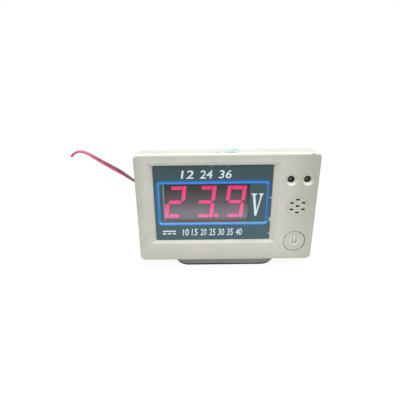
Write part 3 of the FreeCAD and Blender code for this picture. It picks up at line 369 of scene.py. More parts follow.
# %% Ivory plastic
def make_ivory():
    look = Look("ivory_plastic", specular_ior_level=0.35)
    _, back, up = look.axes()
    in_wall = back < FACE + WALL_DEPTH
    patches = look.mix(look.eased(look.noise(9.0), 0.35, 0.65), IVORY_GREEN, IVORY_WARM)
    colour = look.mix(look.noise(3.0, shift=40.0) * 0.5, patches, IVORY)
    # Painted shade darkens the front towards its edges
    colour = look.mix(painted_edge_shade(look), colour, IVORY_EDGE_SHADE)
    # Painted highlights and painted shade on the sign, the dishes, the top edge and the slots
    colour = paint_sign_light_and_shade(look, back, in_wall, colour)
    colour = paint_dish_highlights(look, back, up, in_wall, colour)
    colour = paint_top_edge_highlight(look, back, up, colour)
    colour = paint_slot_shade(look, back, in_wall, colour)
    look.dress(
        base_color=look.mix(dirty_marks(look, back, in_wall), colour, GRIME),
        roughness=look.eased(look.noise(5.0, shift=3.0), 0.3, 0.7, 0.46, 0.6))
    grain = look.noise(0.32, 2.0) * 0.7 + look.noise(1.4, 2.0) * 0.3
    look.bump(grain, 0.05, 0.35)
    return look


wear(make_ivory(), "front_shell", "rear_cover", "power_button")
print("ivory plastic on the shells and the button cap")

# %% [markdown]
# ## Softened edges
# The solids have knife-sharp edges, and no moulding does. A Bevel modifier rounds them without
# touching the mesh itself: the corners are welded first, flat triangles are dissolved into whole
# faces so that the bevel runs clean, and weighted normals keep the flats flat.

# %% Bevel the moulded pieces
BEVEL_SEGMENTS = 3
# Edges whose faces turn by more than this many degrees are rounded
BEVEL_ANGLE = 28


def soften(name, width):
    part = nodes[name]
    weld = part.modifiers.new("weld", "WELD")
    weld.merge_threshold = 0.002 * MM
    flat = part.modifiers.new("flat", "DECIMATE")
    flat.decimate_type = "DISSOLVE"
    flat.angle_limit = math.radians(0.6)
    bevel = part.modifiers.new("bevel", "BEVEL")
    bevel.width = width * MM
    bevel.segments = BEVEL_SEGMENTS
    bevel.limit_method = "ANGLE"
    bevel.angle_limit = math.radians(BEVEL_ANGLE)
    bevel.use_clamp_overlap = False
    bevel.miter_outer = "MITER_ARC"
    even = part.modifiers.new("even", "WEIGHTED_NORMAL")
    even.weight = 80


# Widths in millimetres. The front's stays under half the thin lip that is left round a lamp hole
SOFT_EDGES = {
    "front_shell": 0.09, "rear_cover": 0.14, "power_button": 0.09, "stand_base": 0.2,
    "display_segments_lit": 0.3,
}
for piece, width in SOFT_EDGES.items():
    soften(piece, width)
print("softened", ", ".join(SOFT_EDGES))

# %% [markdown]
# ## The printed label
# A polyester film printed dark teal and set in the recess. Its colour is a little lighter towards
# the bottom, where the table lights it. The right edge has frayed, and the upper edge is scuffed:
# those marks are masks over the same colour, so they stay flat as chipped ink does.

# %% Label film
label_low, label_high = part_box("face_label")
LABEL_TOP = paint(54, 81, 86)
LABEL_FOOT = paint(66, 96, 104)
CHIPPED = paint(190, 206, 204)
# Across, up and radius of each mark, in millimetres
CHIPS = [(18.6, 32.4, 0.5), (18.7, 23.1, 0.75), (18.6, 22.2, 0.45), (18.75, 16.2, 0.5)]
SCUFFS = [
    (-6.6, 46.3, 0.5), (-5.4, 46.1, 0.3), (-3.2, 46.4, 0.45), (0.6, 46.3, 0.5), (1.6, 46.5, 0.3),
]
# How strongly the chips, the scuffs and the dust show
CHIPS_SHOW, SCUFFS_SHOW, DUST_SHOWS = 0.6, 0.3, 0.25


def make_label_film():
    look = Look("label_film", roughness=0.34, specular_ior_level=0.4)
    _, _, up = look.axes()
    rise = look.eased(up, label_low.z / MM, label_high.z / MM)
    faint = look.noise(2.4, 4.0) * 0.25
    ground = look.mix(rise + faint - 0.12, LABEL_FOOT, LABEL_TOP)
    chips = sum(look.spot(x, z, radius) for x, z, radius in CHIPS)
    scuffs = sum(look.spot(x, z, radius, 0.5) for x, z, radius in SCUFFS)
    dust = look.eased(look.noise(0.5, 2.0, shift=5.0), 0.72, 0.8) * DUST_SHOWS
    marks = chips * CHIPS_SHOW + scuffs * SCUFFS_SHOW + dust
    look.dress(base_color=look.mix(marks, ground, CHIPPED))
    look.bump(look.noise(0.5, 2.0), 0.01, 0.3)
    return look


wear(make_label_film(), "face_label")
print("label film", [round((label_high - label_low)[i] / MM, 1) for i in (0, 2)], "mm")

# %% [markdown]
# ## The blue line
# It's screen printed thick, so it stands off the film as a low glossy bead and catches the light
# on the side that faces it. A flat strip couldn't do that. The bead is a half-round section
# carried round a rectangle with round corners. Its blue ink also carries painted light: the outer
# half is painted darker than the inner half, as painted shade, the inner half of the foot is the
# palest, as a painted highlight, and each side's two tones are mixed by how far a point lies from
# the outer rim, with painted shade along the rim itself.

# %% From a bmesh to a piece
def as_piece(name, mesh):
    """Turns a finished bmesh into an object of the scene."""
    bmesh.ops.recalc_face_normals(mesh, faces=mesh.faces)
    data = bpy.data.meshes.new(name)
    mesh.to_mesh(data)
    mesh.free()
    for face in data.polygons:
        face.use_smooth = True
    piece = bpy.data.objects.new(name, data)
    bpy.context.scene.collection.objects.link(piece)
    return piece


# %% A bead round a rounded rectangle
LINE_WIDTH = 1.55 * MM
LINE_RISE = 0.16 * MM
LINE_CORNER = 2.6 * MM
CORNER_STEPS = 10
SECTION_STEPS = 8


def rounded_loop(low, high, corner):
    """Points and outward directions round a rectangle with round corners, seen from the front."""
    loop = []
    for quarter in range(4):
        x = high.x - corner if quarter in (0, 3) else low.x + corner
        z = high.z - corner if quarter in (0, 1) else low.z + corner
        for step in range(CORNER_STEPS + 1):
            turn = (quarter + step / CORNER_STEPS) * math.pi / 2
            outward = Vector((math.cos(turn), 0, math.sin(turn)))
            loop.append((Vector((x, 0, z)) + outward * corner, outward))
    return loop


def bead_mesh(name, low, high, corner, width, rise, ground):
    """A half-round bead along the loop, which rises towards the viewer from the ground's depth."""
    mesh = bmesh.new()
    rings = []
    for point, outward in rounded_loop(low, high, corner):
        ring = []
        for step in range(SECTION_STEPS + 1):
            turn = math.pi * step / SECTION_STEPS
            inward = width / 2 * (1 - math.cos(turn))
            lift = rise * math.sin(turn) ** 0.8
            ring.append(mesh.verts.new(point - outward * inward + Vector((0, ground - lift, 0))))
        rings.append(ring)
    for ring, after in zip(rings, rings[1:] + rings[:1]):
        for step in range(SECTION_STEPS):
            mesh.faces.new((ring[step], ring[step + 1], after[step + 1], after[step]))
        mesh.faces.new((ring[-1], ring[0], after[0], after[-1]))
    return as_piece(name, mesh)


print("a bead has", 4 * (CORNER_STEPS + 1), "rings of", SECTION_STEPS + 1, "points")

# %% Blue ink
# The outer half of the line, in painted shade, and the inner half, in painted highlight, on each side
BLUE_LEFT = (paint(16, 106, 166), paint(28, 130, 206))
BLUE_RIGHT = (paint(24, 86, 110), paint(24, 114, 198))
BLUE_TOP = (paint(12, 102, 170), paint(8, 136, 242))
BLUE_FOOT = (paint(24, 120, 206), paint(104, 174, 232))
BLUE_RIM_SHADE = paint(28, 84, 138)
# Where one tone fades into the next, in millimetres: from the line's ends upward or downward, from
# its outer rim to its inner half, and from the painted shade at the rim to the ink
END_FADE = (0.9, 2.4)
HALF_FADE = (0.55, 1.1)
RIM_FADE = (0.15, 0.5)
line_low, line_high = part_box("label_frame_print")


def make_blue_ink():
    look = Look("blue_ink", roughness=0.35, coat_weight=0.3, coat_roughness=0.2)
    across, _, up = look.axes()
    low, high = line_low.z / MM, line_high.z / MM
    upper = look.eased(up, high - END_FADE[1], high - END_FADE[0])
    lower = 1 - look.eased(up, low + END_FADE[0], low + END_FADE[1])
    sides = look.least(across - line_low.x / MM, line_high.x / MM - across)
    from_rim = look.least(sides, look.least(up - low, high - up)) + look.noise(3.0, 3.0) * 0.2
    halves = []
    for half in (0, 1):
        side = look.mix(look.eased(across, -8.0, 8.0), BLUE_LEFT[half], BLUE_RIGHT[half])
        halves.append(look.mix(lower, look.mix(upper, side, BLUE_TOP[half]), BLUE_FOOT[half]))
    # The two tones of each half and the darker rim are painted shade and painted highlight over the
    # blue ink
    body = look.mix(look.eased(from_rim, *HALF_FADE), *halves)
    rim = 1 - look.eased(from_rim, *RIM_FADE)
    look.dress(base_color=look.mix(rim * 0.6, body, BLUE_RIM_SHADE))
    look.bump(look.noise(0.4, 2.0), 0.01, 0.3)
    return look


blue_line = bead_mesh(
    "blue_line", line_low, line_high, LINE_CORNER, LINE_WIDTH, LINE_RISE, line_high.y)
wear(make_blue_ink(), blue_line)
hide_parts("label_frame_print")
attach(blue_line, "case")
print("blue line", round((line_high.x - line_low.x) / MM, 1), "mm wide")

# %% [markdown]
# ## White print
# The unit sign is a solid already. The rows above and below the window hold plain numbers, as a
# scale would. Text objects are turned into meshes, so that each number can be fitted exactly
# into the space that it has on the label.

# %% Rows of numbers
INK_RISE = 0.03 * MM
BOLD = 0.012
SLANT = 0.12


def printed_number(text, left, right, low, high):
    """A number in white ink, fitted into a box on the label given in millimetres."""
    words = bpy.data.curves.new("number_" + text, "FONT")
    words.body = text
    words.extrude = INK_RISE / 2
    words.offset = BOLD
    words.shear = SLANT
    words.resolution_u = 3
    shown = bpy.data.objects.new("number_" + text, words)
    data = bpy.data.meshes.new_from_object(shown)
    bpy.data.objects.remove(shown)
    across = [v.co.x for v in data.vertices]
    along = [v.co.y for v in data.vertices]
    wide = (right - left) * MM / (max(across) - min(across))
    tall = (high - low) * MM / (max(along) - min(along))
    for v in data.vertices:
        v.co = Vector((
            left * MM + (v.co.x - min(across)) * wide,
            label_low.y - INK_RISE / 2 - v.co.z,
            low * MM + (v.co.y - min(along)) * tall,
        ))
    piece = bpy.data.objects.new("number_" + text, data)
    bpy.context.scene.collection.objects.link(piece)
    return piece


def number_row(numbers, left, width, gap, low, high):
    """Numbers of one width side by side, all lengths in millimetres."""
    for index, text in enumerate(numbers):
        start = left + (width + gap) * index
        number = printed_number(text, start, start + width, low, high)
        wear(white_ink, number)
        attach(number, "case")


print("ink stands", round(INK_RISE / MM, 2), "mm off the film")

# %% White ink
INK_WORN = paint(196, 218, 230)
INK_WHITE = paint(226, 240, 248)
# Numbers, left end, width of each, gap, foot and top of each row, in millimetres
NUMBER_ROWS = [
    (("12", "24", "36"), -18.9, 5.3, 2.5, 41.0, 44.5),
    (("10", "15", "20", "25", "30", "35", "40"), -18.8, 2.7, 1.15, 15.4, 18.6),
]


def make_white_ink():
    look = Look("white_ink", roughness=0.4)
    worn = look.eased(look.noise(0.5, 3.0), 0.3, 0.6)
    look.dress(base_color=look.mix(worn, INK_WORN, INK_WHITE))
    look.bump(look.noise(0.3, 2.0), 0.01, 0.3)
    return look


white_ink = make_white_ink()
wear(white_ink, "label_sign_print")
for row in NUMBER_ROWS:
    number_row(*row)
print("printed", [len(row[0]) for row in NUMBER_ROWS], "numbers above and below the window")

# %% [markdown]
# ## The display
# Behind a smoked pane sits a grey module with light bars let into its face. The photograph
# shows the pane as a grey haze, darker at the top and lilac at the bottom, because it mirrors the
# table. The haze belongs to the module's face here, and the pane is kept clear, so the bars glow
# through at full colour. The lit bars fade from a deep pink to a paler one towards the bottom, and
# the dark ones are as grey as the face round them.

# %% Display module
display_low, display_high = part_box("display_housing")
HAZE = [
    (0.0, paint(150, 144, 157)), (0.25, paint(137, 133, 143)), (0.5, paint(99, 97, 102)),
    (0.75, paint(73, 72, 75)), (0.95, paint(65, 60, 63)), (1.0, paint(80, 43, 51)),
]
# How far the haze and the bars' fade drift up and down, as a share of the height
DRIFT = 0.12


def climb(look, low, high):
    """How far up a node a point lies, from 0 to 1."""
    _, _, up = look.axes()
    return (up - low.z / MM) * (MM / (high.z - low.z))


def make_module():
    look = Look("display_black", roughness=0.5)
    rise = climb(look, display_low, display_high)
    drift = look.noise(6.0, 3.0) * DRIFT - DRIFT / 2
    look.dress(base_color=look.node(
        "ShaderNodeValToRGB", {"stops": HAZE}, {0: rise + drift * (1 - rise)}))
    return look


wear(make_module(), "display_housing", "display_segments_unlit")
print("module face", round((display_high.x - display_low.x) / MM, 1), "mm wide")

# %% Lit bars
LIT = [(0.0, paint(240, 122, 165)), (0.45, paint(236, 80, 140)), (1.0, paint(232, 46, 114))]
BAR_RESIN = paint(120, 10, 40)


def make_lit_bars():
    look = Look("lit_bars", roughness=0.4, base_color=BAR_RESIN)
    rise = climb(look, *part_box("display_segments_lit"))
    grainy = look.noise(1.2, 3.0) * DRIFT - DRIFT / 2
    look.dress(
        emission_color=look.node("ShaderNodeValToRGB", {"stops": LIT}, {0: rise + grainy}),
        emission_strength=1.0)
    return look


wear(make_lit_bars(), "display_segments_lit")
print("lit bars fade through", len(LIT), "tones")

# %% Smoked pane
SMOKE = paint(20, 20, 24)
EDGE_PINK = paint(205, 150, 165)
EDGE_GREY = paint(148, 156, 160)
FOOT_PINK = paint(212, 160, 158)
# Left side of the module to the pane's bright edge, the edge's width, and the module's foot to the
# top of the pink line, in millimetres
WINDOW_INSET = 1.11
BRIGHT_EDGE = 0.52
FOOT_LINE = 1.15
# Heights between which the bright edge turns from pink to grey
EDGE_TURNS = (21.0, 33.0)
# How much the clear glass, its edge and its foot cover
CLEAR, EDGE_COVER, FOOT_COVER = 0.05, 0.9, 0.8


def make_pane():
    look = Look("smoked_window", roughness=0.08, specular_ior_level=0.5)
    across, _, up = look.axes()
    window_left = display_low.x / MM + WINDOW_INSET
    left_edge = (across < window_left + BRIGHT_EDGE) * (across > window_left)
    foot = (up < display_low.z / MM + FOOT_LINE) * FOOT_COVER
    edge_colour = look.mix(look.eased(up, *EDGE_TURNS), EDGE_PINK, EDGE_GREY)
    glass = look.mix(left_edge, SMOKE, edge_colour)
    most = look.node(
        "ShaderNodeMath", {"operation": "MAXIMUM"}, {0: left_edge * EDGE_COVER, 1: foot})
    look.dress(base_color=look.mix(foot, glass, FOOT_PINK), alpha=most + CLEAR)
    return look


wear(make_pane(), "display_window")

# %% [markdown]
# ## Inside the case
# Lamps, sounder and switch are seen only through small holes, and the board behind them not at
# all. They still get the finish of what they are, because a light from another side finds them.
# Each could have a graph of its own, but one function that lets a tone and a gloss wander a little
# is enough for plain materials, and it keeps them alike.

# %% Finishes with one cloudy tone
# How far the roughness wanders to either side, and the relief in millimetres
GLOSS_WANDER = 0.06
FINE_RELIEF = 0.01


def simple(name, dark, light, size, roughness, **fixed):
    """A finish that wanders between two tones, with a fine relief."""
    look = Look(name, **fixed)
    cloud = look.noise(size, 4.0)
    look.dress(
        base_color=look.mix(look.eased(cloud, 0.3, 0.7), dark, light),
        roughness=look.eased(
            cloud, 0.2, 0.8, roughness - GLOSS_WANDER, roughness + GLOSS_WANDER))
    look.bump(look.noise(size / 4, 2.0), FINE_RELIEF, 0.4)
    return look


print("roughness wanders by", GLOSS_WANDER, "to either side")

# %% Lamps, sounder, switch and dark mouldings
wear(simple("lamp_resin", paint(72, 70, 68), paint(86, 83, 81), 1.0, 0.25),
     "indicator_led_left", "indicator_led_right")
wear(simple("black_moulding", paint(26, 26, 27), paint(38, 38, 39), 1.5, 0.5),
     "buzzer", "switch_body", "control_chip", "voltage_regulator", "protection_diode")
wear(simple("switch_plunger_white", paint(196, 196, 190), paint(210, 210, 204), 1.0, 0.5),
     "switch_plunger")
print("finishes for the lamps, the sounder and the switch")

# %% Board and what is soldered to it
wear(simple("board_green", paint(24, 84, 52), paint(34, 102, 62), 6.0, 0.35), "main_board")
wear(simple("tinned_metal", paint(168, 168, 170), paint(205, 205, 206), 0.8, 0.35, metallic=1.0),
     "display_pins", "led_leads", "buzzer_pins", "switch_legs", "control_chip_legs", "lead_solder")
wear(simple("can_metal", paint(170, 172, 176), paint(205, 206, 208), 2.0, 0.3, metallic=1.0),
     "filter_capacitor")
wear(simple("resistor_ceramic", paint(30, 30, 32), paint(70, 68, 66), 0.5, 0.4), "chip_resistors")

# %% [markdown]
# ## Screws, stand and foam
# The screws are zinc plated: metal with a slightly uneven polish. The stand is a dark grey
# moulding, rougher than the case. The pad under it is closed-cell foam. Its cells could be cut
# into the mesh, but they are a third of a millimetre wide, so a Voronoi pattern shows them as bump.

# %% Zinc plated screws
wear(simple("screw_steel", paint(150, 148, 142), paint(196, 193, 186), 0.9, 0.32, metallic=1.0),
     "case_screws", "hinge_screw", "hinge_nut", "hinge_washers")
print("zinc on the case screws and on the hinge")

# %% Stand plastic
STAND_DARK = paint(130, 130, 131)
STAND_PALE = paint(150, 150, 151)


def make_stand_plastic():
    look = Look("stand_plastic", specular_ior_level=0.45)
    cloud = look.noise(5.0)
    look.dress(
        base_color=look.mix(cloud, STAND_DARK, STAND_PALE),
        roughness=look.eased(look.noise(2.0, shift=7.0), 0.3, 0.7, 0.42, 0.58))
    look.bump(look.noise(0.28, 2.0), 0.05, 0.5)
    return look


wear(make_stand_plastic(), "stand_base")

# %% Foam pad
FOAM_CELL = 0.35
# The cells' hollows are painted darker than their walls: painted shade
FOAM_HOLLOW_SHADE = paint(34, 34, 36)
FOAM_WALL = paint(62, 62, 64)


def make_foam():
    look = Look("foam", roughness=0.95)
    cells = look.node(
        "ShaderNodeTexVoronoi", inputs={"Vector": look.place(), "Scale": 1 / FOAM_CELL})
    look.dress(base_color=look.mix(cells, FOAM_HOLLOW_SHADE, FOAM_WALL))
    look.bump(cells, 0.15, 0.8)
    return look


wear(make_foam(), "stand_pad")
print("foam cells of", FOAM_CELL, "mm")

# %% [markdown]
# ## The bushing and the lead
# The lead is a flat twin: two thin cores side by side, one red and one black, stuck together.
# It leaves the case through a rubber bushing in the rear wall, bends to the left, climbs past the
# case and ends cut off. It twists on its way, so that it shows its flat side in the middle and its
# edge at the ends. A curve with a bevel profile could make it, but its twist is hard to steer. So
# only the line is a spline, led by listed points, and the section, a figure of eight, is
# carried along it ring by ring and turned step by step.

# %% The lead's line
bushing_low, bushing_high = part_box("cord_bushing")
EXIT = Vector((
    (bushing_low.x + bushing_high.x) / 2, bushing_high.y, (bushing_low.z + bushing_high.z) / 2))
LEAD_ROUTE = [
    (0.0, 0.0, 0.0),
    (0.0, 5.6, 0.0),
    (-4.0, 10.0, 1.2),
    (-11.6, 11.2, 3.6),
    (-20.2, 9.5, 7.6),
    (-26.6, 8.1, 13.3),
    (-33.2, 6.5, 17.8),
    (-38.5, 5.4, 21.5),
    (-43.4, 4.3, 25.2),
    (-47.8, 3.5, 25.4),
    (-49.6, 3.2, 23.2),
]
POINTS_PER_STRETCH = 12


def spline_points(route):
    """Points along a smooth spline whose control points are the route."""
    curve = bpy.data.curves.new("line", "CURVE")
    curve.dimensions = "3D"
    curve.resolution_u = POINTS_PER_STRETCH
    spline = curve.splines.new("NURBS")
    spline.points.add(len(route) - 1)
    for point, place in zip(spline.points, route):
        point.co = (*place, 1)
    spline.order_u = 3
    spline.use_endpoint_u = True
    holder = bpy.data.objects.new("line", curve)
    data = bpy.data.meshes.new_from_object(holder)
    line = [v.co.copy() for v in data.vertices]
    bpy.data.objects.remove(holder)
    return line


lead_line = spline_points([EXIT + Vector(place) * MM for place in LEAD_ROUTE])
lead_length = sum((b - a).length for a, b in zip(lead_line, lead_line[1:]))
print("lead", round(lead_length / MM, 1), "mm in", len(lead_line), "points")

# %% The lead's section and twist
HALF_CORE = 0.54 * MM
HALF_THICK = 0.52 * MM
CORE_STEPS = 12
# Share of the length, and the turn in degrees: at 0 the flat side faces the camera, black on top,
# and at 90 the red core is the one in front
TWIST = [
    (0.0, -90), (0.43, -86), (0.52, -50), (0.63, 0), (0.72, 36), (0.8, 56), (0.88, 70), (0.94, 84),
    (1.0, 102),
]


def turn_at(share):
    """The twist at a share of the length, between the listed turns."""
    for (start, before), (end, after) in zip(TWIST, TWIST[1:]):
        if share <= end:
            return math.radians(before + (after - before) * (share - start) / (end - start))
    return math.radians(TWIST[-1][1])


print("the lead turns from", TWIST[0][1], "to", TWIST[-1][1], "degrees")

# %% Directions across the lead
def flat_directions(line):
    """For each point: the run, and the two directions across it, the first along the flat side."""
    result = []
    passed = 0.0
    for index, point in enumerate(line):
        passed += (point - line[max(index - 1, 0)]).length
        run = line[min(index + 1, len(line) - 1)] - line[max(index - 1, 0)]
        run.normalize()
        to_camera = (CAMERA_PLACE - point).normalized()
        upward = to_camera.cross(run).normalized()
        if upward.z < 0:
            upward = -upward
        facing = run.cross(upward)
        turn = turn_at(passed / lead_length)
        flat = upward * math.cos(turn) + facing * math.sin(turn)
        result.append((run, flat, run.cross(flat)))
    return result


lead_directions = flat_directions(lead_line)
print("it leaves the case along", [round(c, 2) for c in lead_directions[0][0]])

# %% One core of the lead
# The lead's materials in order
RED_SLOT, BLACK_SLOT, COPPER_SLOT = range(3)
# Shares of half the thickness: the insulation's wall, and how far the copper stands out of the cut
WALL_SHARE = 0.42
COPPER_SHARE = 0.3


def core_tube(mesh, side, insulation):
    """One core's insulation, closed by a ring and a disc of copper at its cut end."""
    rings = []
    for point, (_, flat, thick) in zip(lead_line, lead_directions):
        middle = point + flat * HALF_CORE * side
        ring = []
        for step in range(CORE_STEPS):
            turn = math.tau * step / CORE_STEPS
            out = flat * math.cos(turn) * HALF_CORE + thick * math.sin(turn) * HALF_THICK
            ring.append(mesh.verts.new(middle + out))
        rings.append(ring)
    for ring, after in zip(rings, rings[1:]):
        for step in range(CORE_STEPS):
            following = (step + 1) % CORE_STEPS
            face = mesh.faces.new((ring[step], ring[following], after[following], after[step]))
            face.material_index = insulation
    start = mesh.faces.new(rings[0])
    start.material_index = insulation
    end = mesh.faces.new(rings[-1])
    end.material_index = insulation
    inner = bmesh.ops.inset_individual(mesh, faces=[end], thickness=HALF_THICK * WALL_SHARE)
    for face in inner["faces"]:
        face.material_index = insulation
    end.material_index = COPPER_SLOT
    way_out = lead_directions[-1][0]
    bmesh.ops.translate(mesh, verts=end.verts, vec=way_out * HALF_THICK * COPPER_SHARE)


print("insulation wall", round(HALF_THICK * WALL_SHARE / MM, 2), "mm")

# %% Insulation and copper
red_insulation = simple(
    "red_insulation", paint(212, 62, 103), paint(234, 86, 126), 3.0, 0.38, specular_ior_level=0.5)
black_insulation = simple(
    "black_insulation", paint(112, 95, 98), paint(138, 118, 120), 3.0, 0.4, specular_ior_level=0.5)
copper = simple("copper", paint(190, 120, 84), paint(214, 150, 112), 0.3, 0.35, metallic=1.0)
print("the lead's finishes", red_insulation.material.name, black_insulation.material.name)

# %% Build the lead
lead_mesh = bmesh.new()
core_tube(lead_mesh, 1, BLACK_SLOT)
core_tube(lead_mesh, -1, RED_SLOT)
lead = as_piece("twin_lead", lead_mesh)
for finish in (red_insulation, black_insulation, copper):
    lead.data.materials.append(finish.material)
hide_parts("supply_cord")
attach(lead, "case")
print("lead", len(lead.data.polygons), "faces,", round(HALF_CORE * 4 / MM, 2), "mm wide")

# %% Inner leads and bushing
wear(red_insulation, "inner_lead_red")
wear(black_insulation, "inner_lead_black")
wear(simple("bushing_rubber", paint(30, 30, 30), paint(44, 43, 42), 2.0, 0.7), "cord_bushing")
print("the lead leaves at", [round(c / MM, 1) for c in EXIT], "mm")

# %% [markdown]
# ## The torn seal
# A foil seal once held the seam shut. What is left is a thin, crumpled scrap that shows white
# with cyan glints. A cloth simulation could crumple it. Noise does it at once and is easy to
# steer: the scrap is cut from its outline, divided finely, bent over the rounded front edge of
# the case and pushed about by noise with a fixed seed, so that each run gives the same folds.

# %% Outlines of the scraps
# Across the case and back from its face, in millimetres
MAIN_SCRAP = [
    (-4.6, 0.5), (-3.4, 0.7), (-2.6, 0.2), (-1.4, 0.9), (0.6, 2.4), (2.4, 2.2), (4.8, 3.0),
    (3.4, 4.4), (4.4, 6.1), (0.8, 6.6), (-1.8, 5.2), (-2.4, 3.6), (-4.0, 2.6),
]
REST_SCRAP = [(1.0, 7.7), (3.2, 7.5), (5.6, 7.6), (5.0, 8.9), (3.6, 8.6), (2.2, 9.2)]
print("scraps with", len(MAIN_SCRAP), "and", len(REST_SCRAP), "corners")

# %% Cut, bend and crumple the foil
CRUMPLE_SEED = 3
FOIL = 0.05 * MM
HALVINGS = 4
# Radius of the case's upper front edge
EDGE_ROUND = 0.9 * MM
# Noise changes about once in each unit, so these set the fineness of tears and folds. The shift
# keeps the folds from following the tears
TEARS_PER_METRE = 900
FOLDS_PER_METRE = 700
FOLD_SHIFT = Vector((3, 1, 0))
# How far the torn rim strays, how far from the face it stays, and the folds' lowest and added lift
RIM_STRAY = 0.22 * MM
FACE_GAP = 0.12 * MM
FOLD_LOW = 0.08 * MM
FOLD_RISE = 0.34 * MM
noise.seed_set(CRUMPLE_SEED)


def top_of_case(depth):
    """How far the rounded front edge lies below the flat top at a depth behind the face."""
    inside = max(EDGE_ROUND - depth, 0)
    return EDGE_ROUND - math.sqrt(max(EDGE_ROUND ** 2 - inside ** 2, 0))


def foil_scrap(name, outline):
    mesh = bmesh.new()
    corners = [mesh.verts.new((x * MM, y * MM, 0)) for x, y in outline]
    mesh.faces.new(corners)
    bmesh.ops.triangulate(mesh, faces=mesh.faces)
    for _ in range(HALVINGS):
        bmesh.ops.subdivide_edges(mesh, edges=mesh.edges, cuts=1, use_grid_fill=True)
    for v in mesh.verts:
        torn = noise.noise_vector(v.co * TEARS_PER_METRE) * RIM_STRAY
        wave = 0.5 + 0.5 * noise.noise(v.co * FOLDS_PER_METRE + FOLD_SHIFT)
        depth = max(v.co.y + torn.y, FACE_GAP)
        lift = FOLD_LOW + FOLD_RISE * wave * wave
        v.co = (v.co.x + torn.x, case_low.y + depth, case_high.z - top_of_case(depth) + lift)
    scrap = as_piece(name, mesh)
    solidify = scrap.modifiers.new("thick", "SOLIDIFY")
    solidify.thickness = FOIL
    return scrap


main_scrap = foil_scrap("seal_scrap_front", MAIN_SCRAP)
rest_scrap = foil_scrap("seal_scrap_rear", REST_SCRAP)
print("foil faces", len(main_scrap.data.polygons), "and", len(rest_scrap.data.polygons))

# %% Foil finish
FOIL_WHITE = paint(226, 236, 234)
GLINT_DEEP = paint(70, 214, 208)
GLINT_PALE = paint(140, 236, 232)


def make_seal_foil():
    look = Look("seal_foil", roughness=0.3, specular_ior_level=0.6)
    glints = look.eased(look.noise(1.0, 3.0, shift=2.0), 0.42, 0.6)
    tint = look.mix(look.noise(0.6, 2.0, shift=8.0), GLINT_DEEP, GLINT_PALE)
    look.dress(base_color=look.mix(glints, FOIL_WHITE, tint))
    look.bump(look.noise(0.4, 3.0), 0.08, 0.6)
    return look


seal_foil = make_seal_foil()
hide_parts("seal_scrap")
for scrap in (main_scrap, rest_scrap):
    wear(seal_foil, scrap)
    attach(scrap, "case")
print("the foil rides on the case")

# %% [markdown]
# ## Floor and light
# The photograph has a pure white ground with hardly a shadow. The floor is therefore pale and
# plainly lit. A brighter lamp would burn the object out with it, so only what the camera and
# glossy rays see of the floor is lifted towards white, with Light Path, which leaves the light on
# the object as it is. One wide soft lamp hangs above and in front, and the sky gives the rest.

# %% Floor
HALF_FLOOR = 3.0
FLOOR_DROP = 0.02 * MM
PAPER = paint(244, 244, 243)
# How white the floor is made near the object, and the distances in millimetres over which it
# turns pure white
NEAR_WHITE = 0.94
WHITENS = (40.0, 150.0)


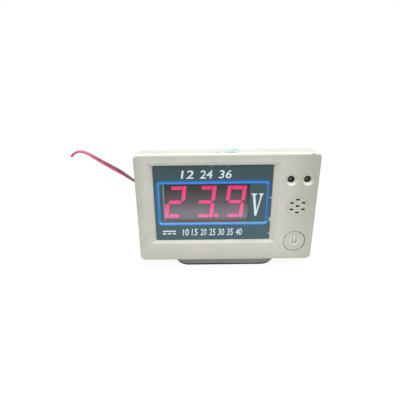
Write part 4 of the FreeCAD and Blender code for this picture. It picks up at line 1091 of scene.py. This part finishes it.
def make_floor():
    sheet = bmesh.new()
    for x, y in ((-1, -1), (1, -1), (1, 1), (-1, 1)):
        sheet.verts.new((x * HALF_FLOOR, y * HALF_FLOOR, -FLOOR_DROP))
    sheet.faces.new(sheet.verts)
    floor = as_piece("floor", sheet)
    look = Look("floor_paper", base_color=PAPER, roughness=0.9)
    across, back, _ = look.axes()
    away = look.node(
        "ShaderNodeMath", {"operation": "POWER"}, {0: across * across + back * back, 1: 0.5})
    seen = look.node("ShaderNodeLightPath", output="Is Camera Ray")
    mirrored = look.node("ShaderNodeLightPath", output="Is Glossy Ray")
    lift = (seen + mirrored) * look.eased(away, *WHITENS, NEAR_WHITE, 1.0)
    white = look.node(
        "ShaderNodeEmission", inputs={"Color": (1, 1, 1, 1), "Strength": 1.0})
    both = look.node(
        "ShaderNodeMixShader",
        inputs={0: lift, 1: Value(look, look.shader.outputs[0]), 2: white})
    output = look.tree.nodes["Material Output"]
    look.tree.links.new(both.socket, output.inputs["Surface"])
    floor.data.materials.append(look.material)


make_floor()
print("floor", 2 * HALF_FLOOR, "m wide")

# %% Sky
# What the sky gives as light. The camera sees it white, straight or through something clear
SKY_LIGHT = 0.3


def make_sky():
    world = bpy.data.worlds.new("sky")
    world.use_nodes = True
    bpy.context.scene.world = world
    tree = world.node_tree
    tree.nodes.clear()
    path = tree.nodes.new("ShaderNodeLightPath")
    shown = tree.nodes.new("ShaderNodeMath")
    shown.operation = "ADD"
    shown.use_clamp = True
    tree.links.new(path.outputs["Is Camera Ray"], shown.inputs[0])
    tree.links.new(path.outputs["Is Transmission Ray"], shown.inputs[1])
    light = tree.nodes.new("ShaderNodeBackground")
    light.inputs["Strength"].default_value = SKY_LIGHT
    white = tree.nodes.new("ShaderNodeBackground")
    mixed = tree.nodes.new("ShaderNodeMixShader")
    output = tree.nodes.new("ShaderNodeOutputWorld")
    for background in (light, white):
        background.inputs["Color"].default_value = (1, 1, 1, 1)
    tree.links.new(shown.outputs[0], mixed.inputs[0])
    tree.links.new(light.outputs[0], mixed.inputs[1])
    tree.links.new(white.outputs[0], mixed.inputs[2])
    tree.links.new(mixed.outputs[0], output.inputs["Surface"])


make_sky()
print("sky light", SKY_LIGHT)

# %% Lamp
LAMP_PLACE = (0.0, -0.09, 0.46)
LAMP_TARGET = (0, 0, 0.02)
LAMP_SIZE = 0.35
LAMP_POWER = 2.85


def soft_lamp(name, place, target, size, power):
    data = bpy.data.lights.new(name, "AREA")
    data.size = size
    data.energy = power
    lamp = bpy.data.objects.new(name, data)
    way = Vector(target) - Vector(place)
    lamp.matrix_world = Matrix.Translation(place) @ way.to_track_quat("-Z", "Y").to_matrix().to_4x4()
    bpy.context.scene.collection.objects.link(lamp)


soft_lamp("lamp_above", LAMP_PLACE, LAMP_TARGET, LAMP_SIZE, LAMP_POWER)
bpy.context.scene.view_settings.view_transform = "Standard"
print("lamp of", LAMP_POWER, "W,", LAMP_SIZE, "m wide")
